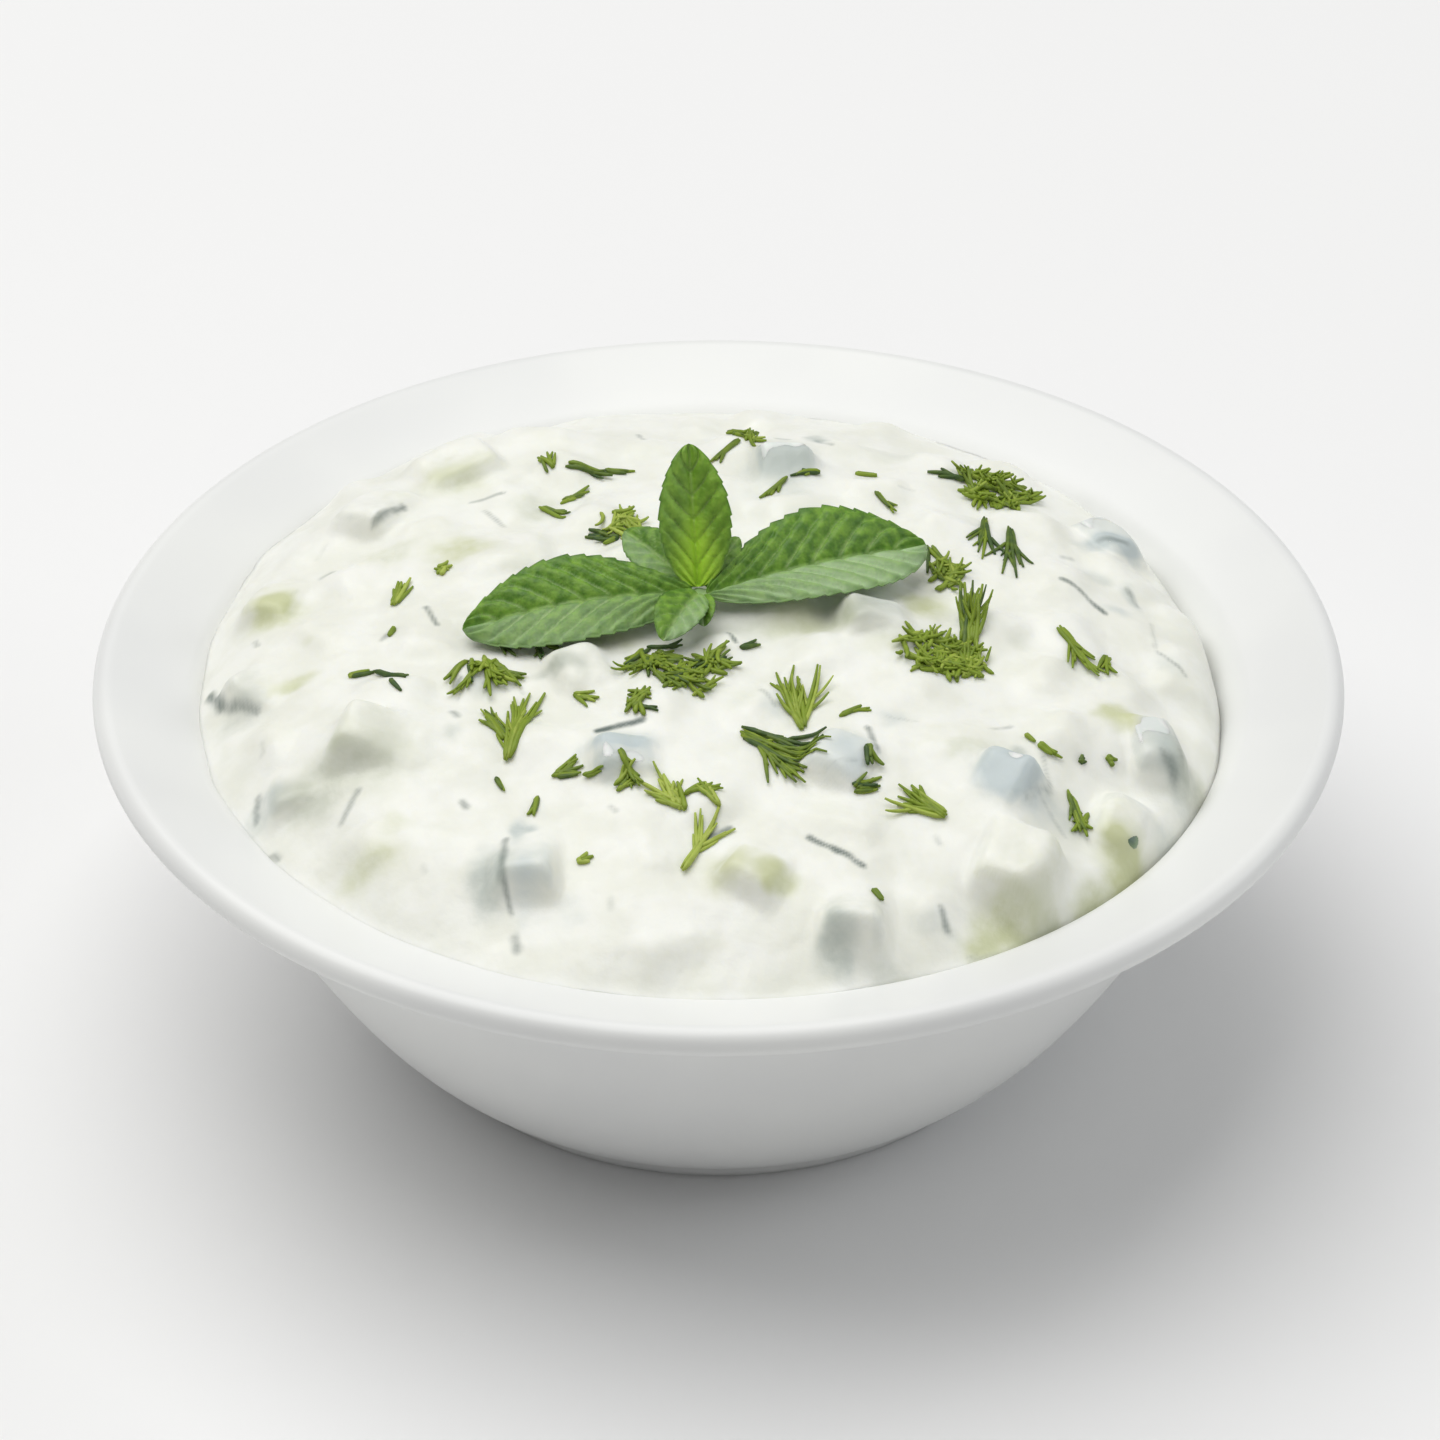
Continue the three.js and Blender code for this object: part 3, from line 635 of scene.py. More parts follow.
def through_film():
    """Maps of tint and painted shade strength, hue and dark marks. A patch weighs exp(-d^3),
    d being distance over its size on a map warped by ripples; strengths join as if seen through
    each other. A stroke weighs exp of minus the squared distance over its half width."""
    x = map_x + 0.9 * ripple(map_x, map_y, 4, 21) + 0.35 * ripple(map_x, map_y, 1.6, 23)
    y = map_y + 1.1 * ripple(map_x, map_y, 4, 22) + 0.4 * ripple(map_x, map_y, 1.6, 24)
    clear = np.ones(x.shape)
    weights = np.full(x.shape, 1e-6)
    hues = np.full(x.shape, 0.5e-6)
    for x0, y0, wide, deep, degrees, hue, strength in TINT_AND_SHADE_PATCHES:
        c, s = cos(radians(degrees)), sin(radians(degrees))
        u = ((x - x0) * c + (y - y0) * s) / wide
        v = ((y - y0) * c - (x - x0) * s) / deep
        weight = strength * np.exp(-(np.hypot(u, v) ** 3))
        clear *= 1 - weight
        weights += weight
        hues += weight * hue
    dark = np.zeros(x.shape)
    fray = 0.14 * ripple(map_x, map_y, 1.1, 25)
    for x0, y0, x1, y1, half, strength in STROKES:
        dx, dy = x1 - x0, y1 - y0
        t = np.clip(((map_x - x0) * dx + (map_y - y0) * dy) / (dx * dx + dy * dy), 0, 1)
        gap = np.hypot(map_x - x0 - t * dx, map_y - y0 - t * dy) + fray
        dark = np.maximum(dark, strength * np.exp(-(np.maximum(gap, 0) / half) ** 2))
    return 1 - clear, hues / weights, dark


tint_map, hue_map, dark_map = through_film()
print("tinted share", round(float((tint_map > 0.3).mean()), 3))

# %% [markdown]
# The mesh is a square grid bent into a disc, so that its cells stay almost even, with no
# crowded pole in the middle. Below the edge it follows the bowl's wall to the floor, which
# makes it a closed solid as the real filling is.

# %% Build the dip's mesh
CELLS = 292
WALL_RINGS = 10
SETTLE = 0.045


def disc_grid(cells):
    """Square to disc: a point's ring is the larger of |a| and |b|, and its angle runs evenly
    round that square ring."""
    s = np.linspace(-1, 1, cells + 1)
    a, b = np.meshgrid(s, s, indexing="ij")
    wide = np.abs(a) > np.abs(b)
    safe_a, safe_b = np.where(a == 0, 1, a), np.where(b == 0, 1, b)
    ring = np.where(wide, a, b)
    turn = np.where(wide, pi / 4 * b / safe_a, pi / 2 - pi / 4 * a / safe_b)
    return (ring * np.cos(turn)).ravel(), (ring * np.sin(turn)).ravel()


def border(cells):
    """The grid's outer points, in order round the square."""
    index = np.arange((cells + 1) ** 2).reshape(cells + 1, cells + 1)
    return np.concatenate([index[:-1, 0], index[-1, :-1], index[:0:-1, -1], index[0, :0:-1]])


unit_x, unit_y = disc_grid(CELLS)
disc_turn = np.arctan2(unit_y, unit_x)
rim_r, rim_z = on_bowl(edge_run(disc_turn))
dip_x, dip_y = unit_x * rim_r, unit_y * rim_r
height = sample(dip_z, dip_x, dip_y)
settle = np.clip((np.hypot(unit_x, unit_y) - 1 + SETTLE) / SETTLE, 0, 1)
settle = 1 - np.sqrt(1 - settle**2)
top_points = np.stack([dip_x, dip_y, height * (1 - settle) + rim_z * settle], -1)
loop = border(CELLS)

floor_run = corner_run - inside_run[-1] + 1.0
step = np.linspace(0, 1, WALL_RINGS + 1)[1:, None]
wall_run = edge_run(disc_turn[loop]) * (1 - step) + floor_run * step
wall_r, wall_z = on_bowl(wall_run)
wall_points = np.stack([wall_r * np.cos(disc_turn[loop]), wall_r * np.sin(disc_turn[loop]), wall_z], -1)
dip_points = np.vstack([top_points, wall_points.reshape(-1, 3), [[0, 0, FLOOR_Z - SINK]]])

count, around = len(top_points), len(loop)
ring_index = np.vstack([loop, count + np.arange(WALL_RINGS * around).reshape(WALL_RINGS, around)])
after = np.roll(ring_index, -1, axis=1)
wall_faces = np.stack([ring_index[:-1], ring_index[1:], after[1:], after[:-1]], -1).reshape(-1, 4)
hub = np.full(around, len(dip_points) - 1)
floor_faces = np.stack([hub, after[-1], ring_index[-1], hub], -1)
top_faces = grid_faces(CELLS + 1, CELLS + 1)
print("dip grid", CELLS, "cells across,", around, "round the edge")

# %% [markdown]
# Yoghurt is bright because light goes in and comes out again a little way off, which is
# subsurface scattering. Its surface is moist, so it has a soft, uneven gloss. The maps of the
# film tint it blue-grey or yellow-green, paint shade on it in grey and yellow-green, and darken
# it over skin and dill.

# %% Yoghurt finish
def yoghurt_finish():
    recipe = Recipe("thick_yoghurt")
    cover, tint = recipe.attribute("cover"), recipe.attribute("tint")
    hue, dark = recipe.attribute("hue"), recipe.attribute("dark")
    cloud = recipe.noise(1.7, 3.0) - 0.5
    cream = recipe.mix(rgb(235, 236, 226), rgb(242, 243, 236), recipe.noise(7, 3.0).between(0.35, 0.65))
    # Hue 0.5 gives a grey that is painted shade; the yellow-green serves both as flesh and as painted shade
    # in hollows.
    blue_to_shade_grey = recipe.mix(rgb(198, 208, 209), rgb(190, 195, 183), hue.between(0.0, 0.5))
    flesh = recipe.mix(blue_to_shade_grey, rgb(204, 208, 168), hue.between(0.5, 1.0))
    thin = (1 - (cover + cloud).between(0.1, 1.3)) * 0.42
    share = (tint + tint * cloud * 0.9).between(0.0, 1.1) + thin
    colour = recipe.mix(cream, flesh, share)
    colour = recipe.mix(colour, rgb(92, 106, 101), (dark + cloud * 0.25).between(0.12, 1.0))
    grain = recipe.noise(1.1, 3.0) * 0.5 + recipe.noise(3.0, 2.0)
    return recipe.surface(
        Base_Color=colour, Roughness=0.3 + 0.24 * recipe.noise(5, 2.0), IOR=1.38, Coat_Weight=0.12,
        Coat_Roughness=0.12, Normal=recipe.bump(grain, 0.25, 0.5), Subsurface_Weight=0.5,
        Subsurface_Radius=(1.0, 0.95, 0.8), Subsurface_Scale=1.8 * MM)


padding = np.zeros(len(dip_points) - count)
yoghurt = put_mesh(
    "yoghurt_dip", dip_points, np.vstack([top_faces, wall_faces, floor_faces]),
    yoghurt_finish(), "yoghurt_dip",
    cover=np.concatenate([sample(dip_cover, dip_x, dip_y), padding + 3]),
    tint=np.concatenate([sample(tint_map, dip_x, dip_y), padding]),
    hue=np.concatenate([sample(hue_map, dip_x, dip_y), padding]),
    dark=np.concatenate([sample(dark_map, dip_x, dip_y), padding]))
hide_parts("tzatziki")

# %% [markdown]
# ## The cucumber chunks
# A knife leaves flat faces, and an hour in yoghurt softens their edges. A chunk with a Bevel
# modifier would do. Here it is a ball pushed out to its flat sides: along each direction the
# sides' distances are joined by a high power mean, which rounds every edge and corner alike.

# %% Make the chunks
CHUNK_ROWS, CHUNK_COLUMNS = 40, 56
CHUNK_SHARPNESS = 13
SIDE_SHRINK = 0.5
# 0 is blue-grey flesh, 1 is yellow-green flesh near the seeds
TONES = {"cucumber_04": 0.9, "cucumber_05": 0.5, "cucumber_09": 0.6, "cucumber_16": 0.8,
         "cucumber_17": 0.7, "cucumber_18": 0.8, "cucumber_19": 1.0, "cucumber_14": 0.8}


def chunk_ball(chunk):
    """A sphere's directions, each as long as 1 / (sum of (n.dir / d)^p)^(1/p) over the sides."""
    tilt = np.linspace(0, pi, CHUNK_ROWS + 2)[1:-1, None]
    turn = np.arange(CHUNK_COLUMNS) * 2 * pi / CHUNK_COLUMNS
    ball = np.stack([np.sin(tilt) * np.cos(turn), np.sin(tilt) * np.sin(turn), np.cos(tilt) + 0 * turn], -1)
    ball = np.vstack([ball.reshape(-1, 3), [[0, 0, 1], [0, 0, -1]]])
    shrink = SIDE_SHRINK * (chunk["normals"][:, 2] < 0.6)
    room = chunk["distances"] - chunk["normals"] @ chunk["middle"] - shrink
    press = np.maximum(ball @ chunk["normals"].T, 0) / room
    length = (press**CHUNK_SHARPNESS).sum(-1) ** (-1 / CHUNK_SHARPNESS)
    points = chunk["middle"] + ball * length[:, None]
    past = points @ chunk["normals"].T - chunk["distances"]
    return points, -past[:, chunk["skin"]].max(-1)


def ball_faces():
    """Faces of the rows, and a fan at each pole."""
    last = CHUNK_ROWS * CHUNK_COLUMNS
    column = np.arange(CHUNK_COLUMNS)
    ahead = (column + 1) % CHUNK_COLUMNS
    base = last - CHUNK_COLUMNS
    top = np.stack([column * 0 + last, column, ahead, column * 0 + last], -1)
    foot = np.stack([column * 0 + last + 1, base + ahead, base + column, column * 0 + last + 1], -1)
    return np.vstack([grid_faces(CHUNK_ROWS, CHUNK_COLUMNS, wrap=True), top, foot])


# %% [markdown]
# Cucumber flesh is wet and half clear, paler towards the seeds, and ends in a thin band of
# strong green under the dark skin. The depth below the skin is stored on each point, and the
# colours follow from it.

# %% Cucumber finish
def cucumber_finish():
    recipe = Recipe("cucumber_flesh")
    depth, tone = recipe.attribute("depth"), recipe.attribute("tone")
    wander = (recipe.noise(1.6, 3.0) - 0.5) * 0.5
    flesh = recipe.mix(rgb(224, 230, 228), rgb(226, 232, 204), tone)
    flesh = recipe.mix(flesh, rgb(238, 241, 236), recipe.noise(2.6, 3.0).between(0.42, 0.62))
    band = recipe.mix(rgb(128, 150, 118), flesh, (depth + wander).between(0.5, 1.8))
    colour = recipe.mix(rgb(84, 104, 92), band, (depth + wander * 0.4).between(0.15, 0.6))
    return recipe.surface(
        Base_Color=colour, Roughness=0.3 + 0.15 * recipe.noise(2, 2.0), IOR=1.36, Coat_Weight=0.15,
        Coat_Roughness=0.2, Normal=recipe.bump(recipe.noise(1.2, 3.0), 0.2, 0.4), Subsurface_Weight=0.4,
        Subsurface_Radius=(0.8, 1.0, 0.8), Subsurface_Scale=1.5 * MM)


cucumber = cucumber_finish()
for chunk in CHUNKS:
    chunk_points, skin_depth = chunk_ball(chunk)
    piece = put_mesh(
        chunk["name"].replace("cucumber", "cucumber_chunk"), chunk_points, ball_faces(), cucumber, "cucumber",
        depth=skin_depth, tone=np.full(len(chunk_points), TONES.get(chunk["name"], 0.1)))
    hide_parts(chunk["name"])

# %% [markdown]
# ## The mint sprig
# A mint leaf is a blade folded along its midrib, with a toothed margin, sunken side veins and
# puffed blade between them. It could be a subdivided card with an alpha picture. Here it is a
# surface of two parameters, along the midrib and across it, so the teeth and veins are real.

# %% Leaf shape
SPRIG = np.array([-2.4, -1.4, 63.2])
LEAF_ROWS, LEAF_COLUMNS = 120, 48
LEAF_THICKNESS = 0.34
LEAF_FULLNESS = 0.62
VEIN_FORWARD = 0.42
# base, tip, rise of the middle, half width, where widest, far and near slopes, veins a side,
# paleness of the near side (painted sheen), youth, droop of the margins, and share of the full grid
LEAVES = [
    ((-3.3, -1.6, 63.3), (-32.4, -6.2, 60.8), 3.4, 6.8, 0.54, 32, 12, 8, 0.55, 0.0, 0.5, 1.0),
    ((-1.4, -1.8, 63.3), (26.8, 10.4, 62.6), 2.6, 7.9, 0.56, 33, 0, 8, 1.0, 0.0, 0.4, 1.0),
    ((-2.6, -0.3, 63.4), (-3.8, 9.0, 79.0), 0.6, 4.9, 0.46, 16, -16, 6, 0.1, 1.0, -0.3, 0.8),
    ((-2.6, -2.4, 63.8), (-7.0, -11.4, 62.6), 1.6, 3.3, 0.5, 24, -4, 5, 0.7, 0.1, 0.2, 0.5),
    ((-1.6, -0.4, 63.6), (2.6, 5.8, 67.0), 0.5, 1.9, 0.5, 30, 10, 4, 0.0, 0.0, 0.2, 0.35),
    ((-3.3, -0.5, 63.6), (-12.0, 8.6, 66.2), 0.8, 3.2, 0.55, 34, 14, 5, 0.5, 0.1, 0.2, 0.4),
    ((-2.0, -2.4, 63.5), (-1.8, -7.6, 62.2), 0.8, 1.6, 0.5, 20, 0, 4, 0.9, 0.1, 0.2, 0.35),
]


def leaf_surface(base, tip, rise, half, widest, far, near, veins, pale, youth, droop, share):
    """Blade over u along the bent midrib and v across it. Its width is a skewed sine with
    teeth; two slopes meet at the midrib; side veins are grooves that run forwards, and the
    blade swells between them. The underside is the same sheet, one thickness down."""
    rows, columns = int(LEAF_ROWS * share), int(LEAF_COLUMNS * share) // 2 * 2
    u = np.linspace(0, 1, rows)[:, None]
    v = np.linspace(-1, 1, columns + 1)[None, :]
    base, tip = np.array(base), np.array(tip)
    middle = (base + tip) / 2 + [0, 0, rise]
    midrib = (1 - u) ** 2 * base + 2 * u * (1 - u) * middle + u**2 * tip
    along = 2 * (1 - u) * (middle - base) + 2 * u * (tip - middle)
    along /= np.linalg.norm(along, axis=-1, keepdims=True)
    run = tip - base
    across = np.array([-run[1], run[0], 0]) / np.hypot(run[0], run[1])
    if across[1] < 0 or np.hypot(run[0], run[1]) < run[2]:
        across = -across
    up = np.cross(along, across)
    up *= np.where(up[:, 2:] < 0, -1, 1)
    skew = np.log(0.5) / np.log(widest)
    outline = np.sin(pi * np.clip(u, 1e-6, 1 - 1e-6) ** skew) ** LEAF_FULLNESS
    teeth = 1 - 0.06 * ((u * veins * 1.7 + 0.2 * np.sin(17 * u)) % 1) * np.clip(u * 6, 0, 1)
    width = half * outline * teeth + 0.45 * (1 - u) ** 4 + 0.03
    phase = (u - VEIN_FORWARD * np.abs(v) ** 1.15 * (1 - 0.5 * u)) * veins + 0.25
    to_vein = np.abs(phase - np.round(phase)) / veins
    groove = np.exp(-((to_vein / 0.013) ** 2)) * (1 - np.abs(v) ** 3) * np.clip(phase * 2, 0, 1)
    rib = np.exp(-((v * width / 0.34) ** 2))
    swell = np.sqrt(np.clip(to_vein * veins * 2, 0, 1)) * np.sin(pi * np.abs(v)) ** 0.7
    size = half / 7
    lift = size * (0.62 * swell - 0.3 * groove) - 0.3 * rib * size
    lift = lift + 0.25 * size * np.sin(9 * u + 3 * v) * np.abs(v) - droop * size * np.abs(v) ** 3
    slope = np.radians(np.where(v > 0, far, near))
    place = midrib[:, None, :] + (v * width * np.cos(slope))[..., None] * across
    climb = v * width * np.sin(slope) + lift * np.clip(width / 1.5, 0, 1)
    place = place + climb[..., None] * up[:, None, :]
    thin = LEAF_THICKNESS * (1 - 0.7 * np.abs(v) ** 4) * np.clip(width / 0.6, 0.15, 1)
    points = np.vstack([place.reshape(-1, 3), (place - thin[..., None] * up[:, None, :]).reshape(-1, 3)])
    top = grid_faces(rows, columns + 1)
    size_top = rows * (columns + 1)
    index = np.arange(size_top).reshape(rows, columns + 1)
    ring = np.concatenate([index[:-1, 0], index[-1, :-1], index[:0:-1, -1], index[0, :0:-1]])
    nxt = np.roll(ring, -1)
    sides = np.stack([ring, ring + size_top, nxt + size_top, nxt], -1)
    faces = outward(points, np.vstack([top, top[:, ::-1] + size_top, sides[:, ::-1]]))
    vein = np.maximum(groove, rib * 0.9)
    stripe = 0.5 + 0.5 * np.cos(2 * pi * phase)
    # Painted sheen: the near half of the blade is made paler, more towards the tip and along the veins.
    paleness = pale * np.clip(-v * 8, 0, 1) * (0.45 + 0.55 * u**0.5) * (0.5 + 0.5 * stripe)
    young = youth * np.clip(1.5 - 1.9 * u - 0.8 * np.abs(v), 0.3, 1)
    tints = [np.tile((t + 0 * width * v).ravel(), 2) for t in (vein, paleness, young, 1 - np.abs(v))]
    return points, faces, tints


# %% [markdown]
# The stem is a short square-ish stalk, as mint has, with a knot where the leaves meet. All of
# the sprig is one piece, since a real sprig is one plant.

# %% Carry a ring along a path
def tubes(paths, radii, sides, square=0.0):
    """Carries a ring along many paths at once; paths are (threads, steps, 3) and radii are
    (threads, steps). Each ring lies across its path, and square swells its four corners."""
    along = np.gradient(paths, axis=1)
    along /= np.maximum(np.linalg.norm(along, axis=-1, keepdims=True), 1e-9)
    side = np.cross(along, [0.02, 0.05, 1.0])
    side /= np.maximum(np.linalg.norm(side, axis=-1, keepdims=True), 1e-9)
    lift = np.cross(side, along)
    turn = np.arange(sides) * 2 * pi / sides
    spoke = 1 + square * np.cos(4 * turn)
    across, above = (spoke * np.cos(turn))[:, None], (spoke * np.sin(turn))[:, None]
    ring = side[:, :, None] * across + lift[:, :, None] * above
    points = paths[:, :, None] + radii[:, :, None, None] * ring
    threads, steps = paths.shape[:2]
    one = grid_faces(steps, sides, wrap=True)
    ends = [np.array([[k, k + 1, sides - 2 - k, sides - 1 - k] for k in range(sides // 2 - 1)])]
    ends.append(ends[0][:, ::-1] + (steps - 1) * sides)
    one = np.vstack([one, *ends])
    faces = one[None] + (np.arange(threads) * steps * sides)[:, None, None]
    return points.reshape(-1, 3), faces.reshape(-1, 4)


def mint_finish():
    recipe = Recipe("mint_leaf")
    vein, pale = recipe.attribute("vein"), recipe.attribute("pale")
    young, inner = recipe.attribute("young"), recipe.attribute("inner")
    mottle = recipe.noise(1.4, 3.0)
    colour = recipe.mix(rgb(74, 116, 26), rgb(124, 164, 56), mottle.between(0.3, 0.75))
    # Painted sheen: the near half lightened to a pale grey-green, and its veins paler still.
    colour = recipe.mix(colour, rgb(168, 194, 148), pale)
    colour = recipe.mix(colour, rgb(172, 196, 130), vein.between(0.25, 1.0) * (0.35 + pale * 0.3))
    colour = recipe.mix(colour, rgb(166, 208, 56), young.between(0.0, 1.1))
    colour = recipe.mix(colour, rgb(70, 104, 44), (1 - inner.between(0.0, 0.14)) * 0.5)
    crease = recipe.noise(0.55, 3.0) * 0.5 + recipe.noise(1.3, 2.0)
    return recipe.surface(
        Base_Color=colour, Roughness=0.42 + 0.2 * mottle, IOR=1.45, Normal=recipe.bump(crease, 0.28, 0.6),
        Subsurface_Weight=0.12, Subsurface_Radius=(0.4, 1.0, 0.2), Subsurface_Scale=0.8 * MM)


STEM_STEPS, STEM_SIDES = 24, 16
stem_t = np.linspace(0, 1, STEM_STEPS)[:, None]
stem_foot = SPRIG + [1.6, -0.8, -9.0]
stem_path = SPRIG * (1 - stem_t) + stem_foot * stem_t + np.sin(pi * stem_t) * [-0.3, 0.2, 0]
stem_radius = 1.05 + 0.75 * np.exp(-((stem_t[:, 0] / 0.14) ** 2))
stem_radius = stem_radius - 0.6 * np.exp(-((stem_t[:, 0] / 0.03) ** 2))
stem_points, stem_faces = tubes(stem_path[None], stem_radius[None], STEM_SIDES, 0.1)
stem_faces = outward(stem_points, stem_faces)
# The stem's second value is its share of the painted sheen.
parts = [(stem_points, stem_faces, [np.full(len(stem_points), k) for k in (0.2, 0.6, 0.2, 1.0)])]
parts += [leaf_surface(*leaf) for leaf in LEAVES]
starts = np.cumsum([0] + [len(points) for points, _, _ in parts])
mint_points = np.vstack([points for points, _, _ in parts])
mint_faces = np.vstack([faces + start for (_, faces, _), start in zip(parts, starts)])
mint_tints = [np.concatenate([tints[k] for _, _, tints in parts]) for k in range(4)]
mint = put_mesh("mint_sprig_leaves", mint_points, mint_faces, mint_finish(), "mint",
                vein=mint_tints[0], pale=mint_tints[1], young=mint_tints[2], inner=mint_tints[3])
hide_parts("mint_sprig")

# %% [markdown]
# ## Chopped dill
# Dill leaves are branching threads under a millimetre thick. Chopped, they lie as single
# needles, forks, fans and tangled clumps. Each is a thin tube that follows the dip's surface
# along a bent line. Every tuft is a row below: where it is, which way it points, how long and
# how many its needles are, how they spread, and how bright they are.

# %% Tufts of dill
# x, y, heading in degrees, needle length, needles, spread in degrees, scatter across and
# along in mm, lift of the tips, tone from dark (0) to bright (1)
TUFTS = [
    (3.4, 41.6, 80, 4, 12, 300, 1.6, 2.2, 0.8, 0.45), (2.6, 40.8, 236, 8, 2, 14, 0.4, 0.3, 0.1, 0.3),
    (37, 33.4, 10, 5.5, 56, 330, 4.6, 5, 1.6, 0.5), (32.6, 33.2, 172, 5, 2, 20, 0.5, 0.5, 0.1, 0.2),
    (35, 24, 268, 10.5, 4, 12, 0.8, 0.8, 0, 0.05), (38.4, 21.8, 272, 13.5, 4, 14, 0.8, 1, 0.1, 0.15),
    (27.4, 15.8, 280, 6, 3, 30, 0.6, 0.8, 0.3, 0.25), (29.2, 8.8, 60, 4.6, 20, 340, 2.4, 3, 1, 0.5),
    (28.6, -10, 8, 5.6, 62, 330, 5.2, 4, 1.2, 0.6), (31.6, -6.8, 88, 10, 10, 18, 1.3, 1, 3.6, 0.45),
    (43.6, -2, 296, 10.5, 5, 12, 0.6, 0.6, 0.2, 0.4), (49.4, -4.8, 255, 5, 3, 30, 0.5, 0.5, 0.3, 0.45),
    (10.4, -26.4, 96, 11, 11, 50, 0.7, 0.6, 1, 0.6), (3.4, -27, 318, 12, 14, 30, 1, 1.2, 0.5, 0.3),
    (-8.6, -11, 285, 6, 22, 130, 1.8, 2, 0.8, 0.35), (-4.4, -17.4, 350, 5.5, 24, 300, 3.4, 2.2, 0.8, 0.35),
    (-0.6, -13.8, 80, 4.8, 18, 300, 1.8, 2.4, 0.8, 0.35), (-10, -22, 60, 4.4, 9, 200, 1, 1.8, 0.5, 0.35),
    (-26.2, -31.2, 82, 15, 9, 13, 0.6, 0.5, 0.5, 0.6), (-26.4, -27.2, 112, 6.5, 6, 22, 0.6, 0.6, 0.4, 0.5),
    (-29.4, -12.2, 290, 6, 22, 110, 2.6, 2.4, 0.8, 0.45), (-27.6, -7, 20, 4.4, 10, 150, 2.2, 1, 0.4, 0.1),
    (-22.8, -8.2, 340, 3.6, 6, 120, 1, 0.8, 0.3, 0.15),
    (-17.8, -19.2, 320, 3.2, 5, 90, 0.5, 0.8, 0.2, 0.6),
    (-27.4, -33.6, 292, 3.4, 2, 10, 0.3, 0.2, 0.1, 0.4),
    (-22.2, -37.2, 262, 3.8, 3, 14, 0.3, 0.3, 0.1, 0.45), (-20, -34.6, 24, 4, 7, 60, 0.5, 0.6, 0.3, 0.35),
    (-16.4, -35.6, 350, 3, 2, 12, 0.3, 0.2, 0.1, 0.35), (-12, -33.8, 300, 5, 4, 22, 0.4, 0.6, 0.3, 0.5),
    (-12.4, -38.2, 50, 4.4, 4, 24, 0.4, 0.5, 0.3, 0.5), (-4.6, -41.4, 128, 8, 9, 66, 0.8, 0.8, 0.7, 0.85),
    (-3.8, -39.4, 20, 5, 4, 40, 0.6, 0.6, 0.4, 0.6), (-4.4, -51.2, 66, 11, 4, 7, 0.4, 0.4, 0.4, 0.9),
    (-0.2, -42, 122, 5.5, 3, 20, 0.4, 0.4, 0.4, 0.6), (13.4, 31.2, 196, 5, 2, 14, 0.3, 0.3, 0, 0.2),
    (9, 29.6, 228, 6, 2, 10, 0.3, 0.3, 0, 0.2), (18.4, 33.6, 350, 3.2, 4, 30, 0.4, 0.4, 0.2, 0.5),
    (20.8, 26.6, 300, 5, 2, 10, 0.3, 0.3, 0.1, 0.2), (-23.4, 26, 322, 5.6, 3, 10, 0.4, 0.4, 0.2, 0.5),
    (-20.4, 27.2, 30, 4.6, 4, 34, 0.5, 0.8, 0.3, 0.45), (-22.2, 33.4, 96, 4, 5, 80, 0.6, 1.2, 0.4, 0.35),
    (-19.8, 33.6, 352, 6, 4, 24, 0.8, 0.8, 0.2, 0.3), (-15.4, 34.6, 350, 4.6, 3, 40, 0.6, 0.8, 0.2, 0.3),
    (-12, 18.4, 40, 4.6, 18, 300, 2.6, 2.4, 0.9, 0.8), (-14, 15.8, 170, 3.6, 8, 120, 1.4, 1, 0.4, 0.1),
    (-35.4, 9.4, 60, 2, 6, 300, 0.5, 0.6, 0.3, 0.7), (-41.6, 3.6, 66, 5, 6, 22, 0.5, 0.6, 0.3, 0.75),
    (-46.4, -11.4, 12, 3.2, 4, 30, 0.4, 0.4, 0.1, 0.5),
    (-43.4, -11.4, 322, 8.6, 2, 8, 0.3, 0.3, 0.1, 0.05),
    (-41.2, -15.4, 300, 3.4, 1, 6, 0.2, 0.2, 0.1, 0.05), (2.8, -10, 24, 3.4, 3, 20, 0.3, 0.3, 0.1, 0.2),
    (15.2, -24.4, 24, 4.2, 4, 18, 0.4, 0.4, 0.2, 0.4), (18.4, -32.4, 290, 3, 5, 60, 0.5, 0.6, 0.3, 0.2),
    (16.6, -37.4, 30, 3.6, 7, 50, 0.5, 0.8, 0.3, 0.3), (27.4, -41, 150, 7.4, 10, 50, 0.5, 0.6, 0.7, 0.55),
    (37.8, -24.8, 318, 2.4, 2, 16, 0.3, 0.3, 0.1, 0.4), (39.8, -25.8, 334, 3.4, 4, 18, 0.3, 0.4, 0.2, 0.4),
    (45.2, -26.6, 0, 1.2, 3, 200, 0.2, 0.2, 0.1, 0.2), (48.8, -25.2, 20, 1.4, 3, 200, 0.2, 0.3, 0.1, 0.2),
    (43.4, -31, 284, 8, 5, 16, 0.5, 0.6, 0.2, 0.35), (45.8, -33.6, 250, 4, 3, 24, 0.4, 0.4, 0.2, 0.45),
    (18.6, -53.2, 296, 2.2, 3, 16, 0.3, 0.3, 0.1, 0.3), (-16.8, -49, 10, 1.8, 4, 80, 0.4, 0.3, 0.1, 0.7),
    (-41.2, -2, 250, 2, 2, 20, 0.3, 0.3, 0, 0.3),
]
THREAD_STEPS, THREAD_SIDES = 9, 6
THREAD_R = 0.34
LOOSE = 180


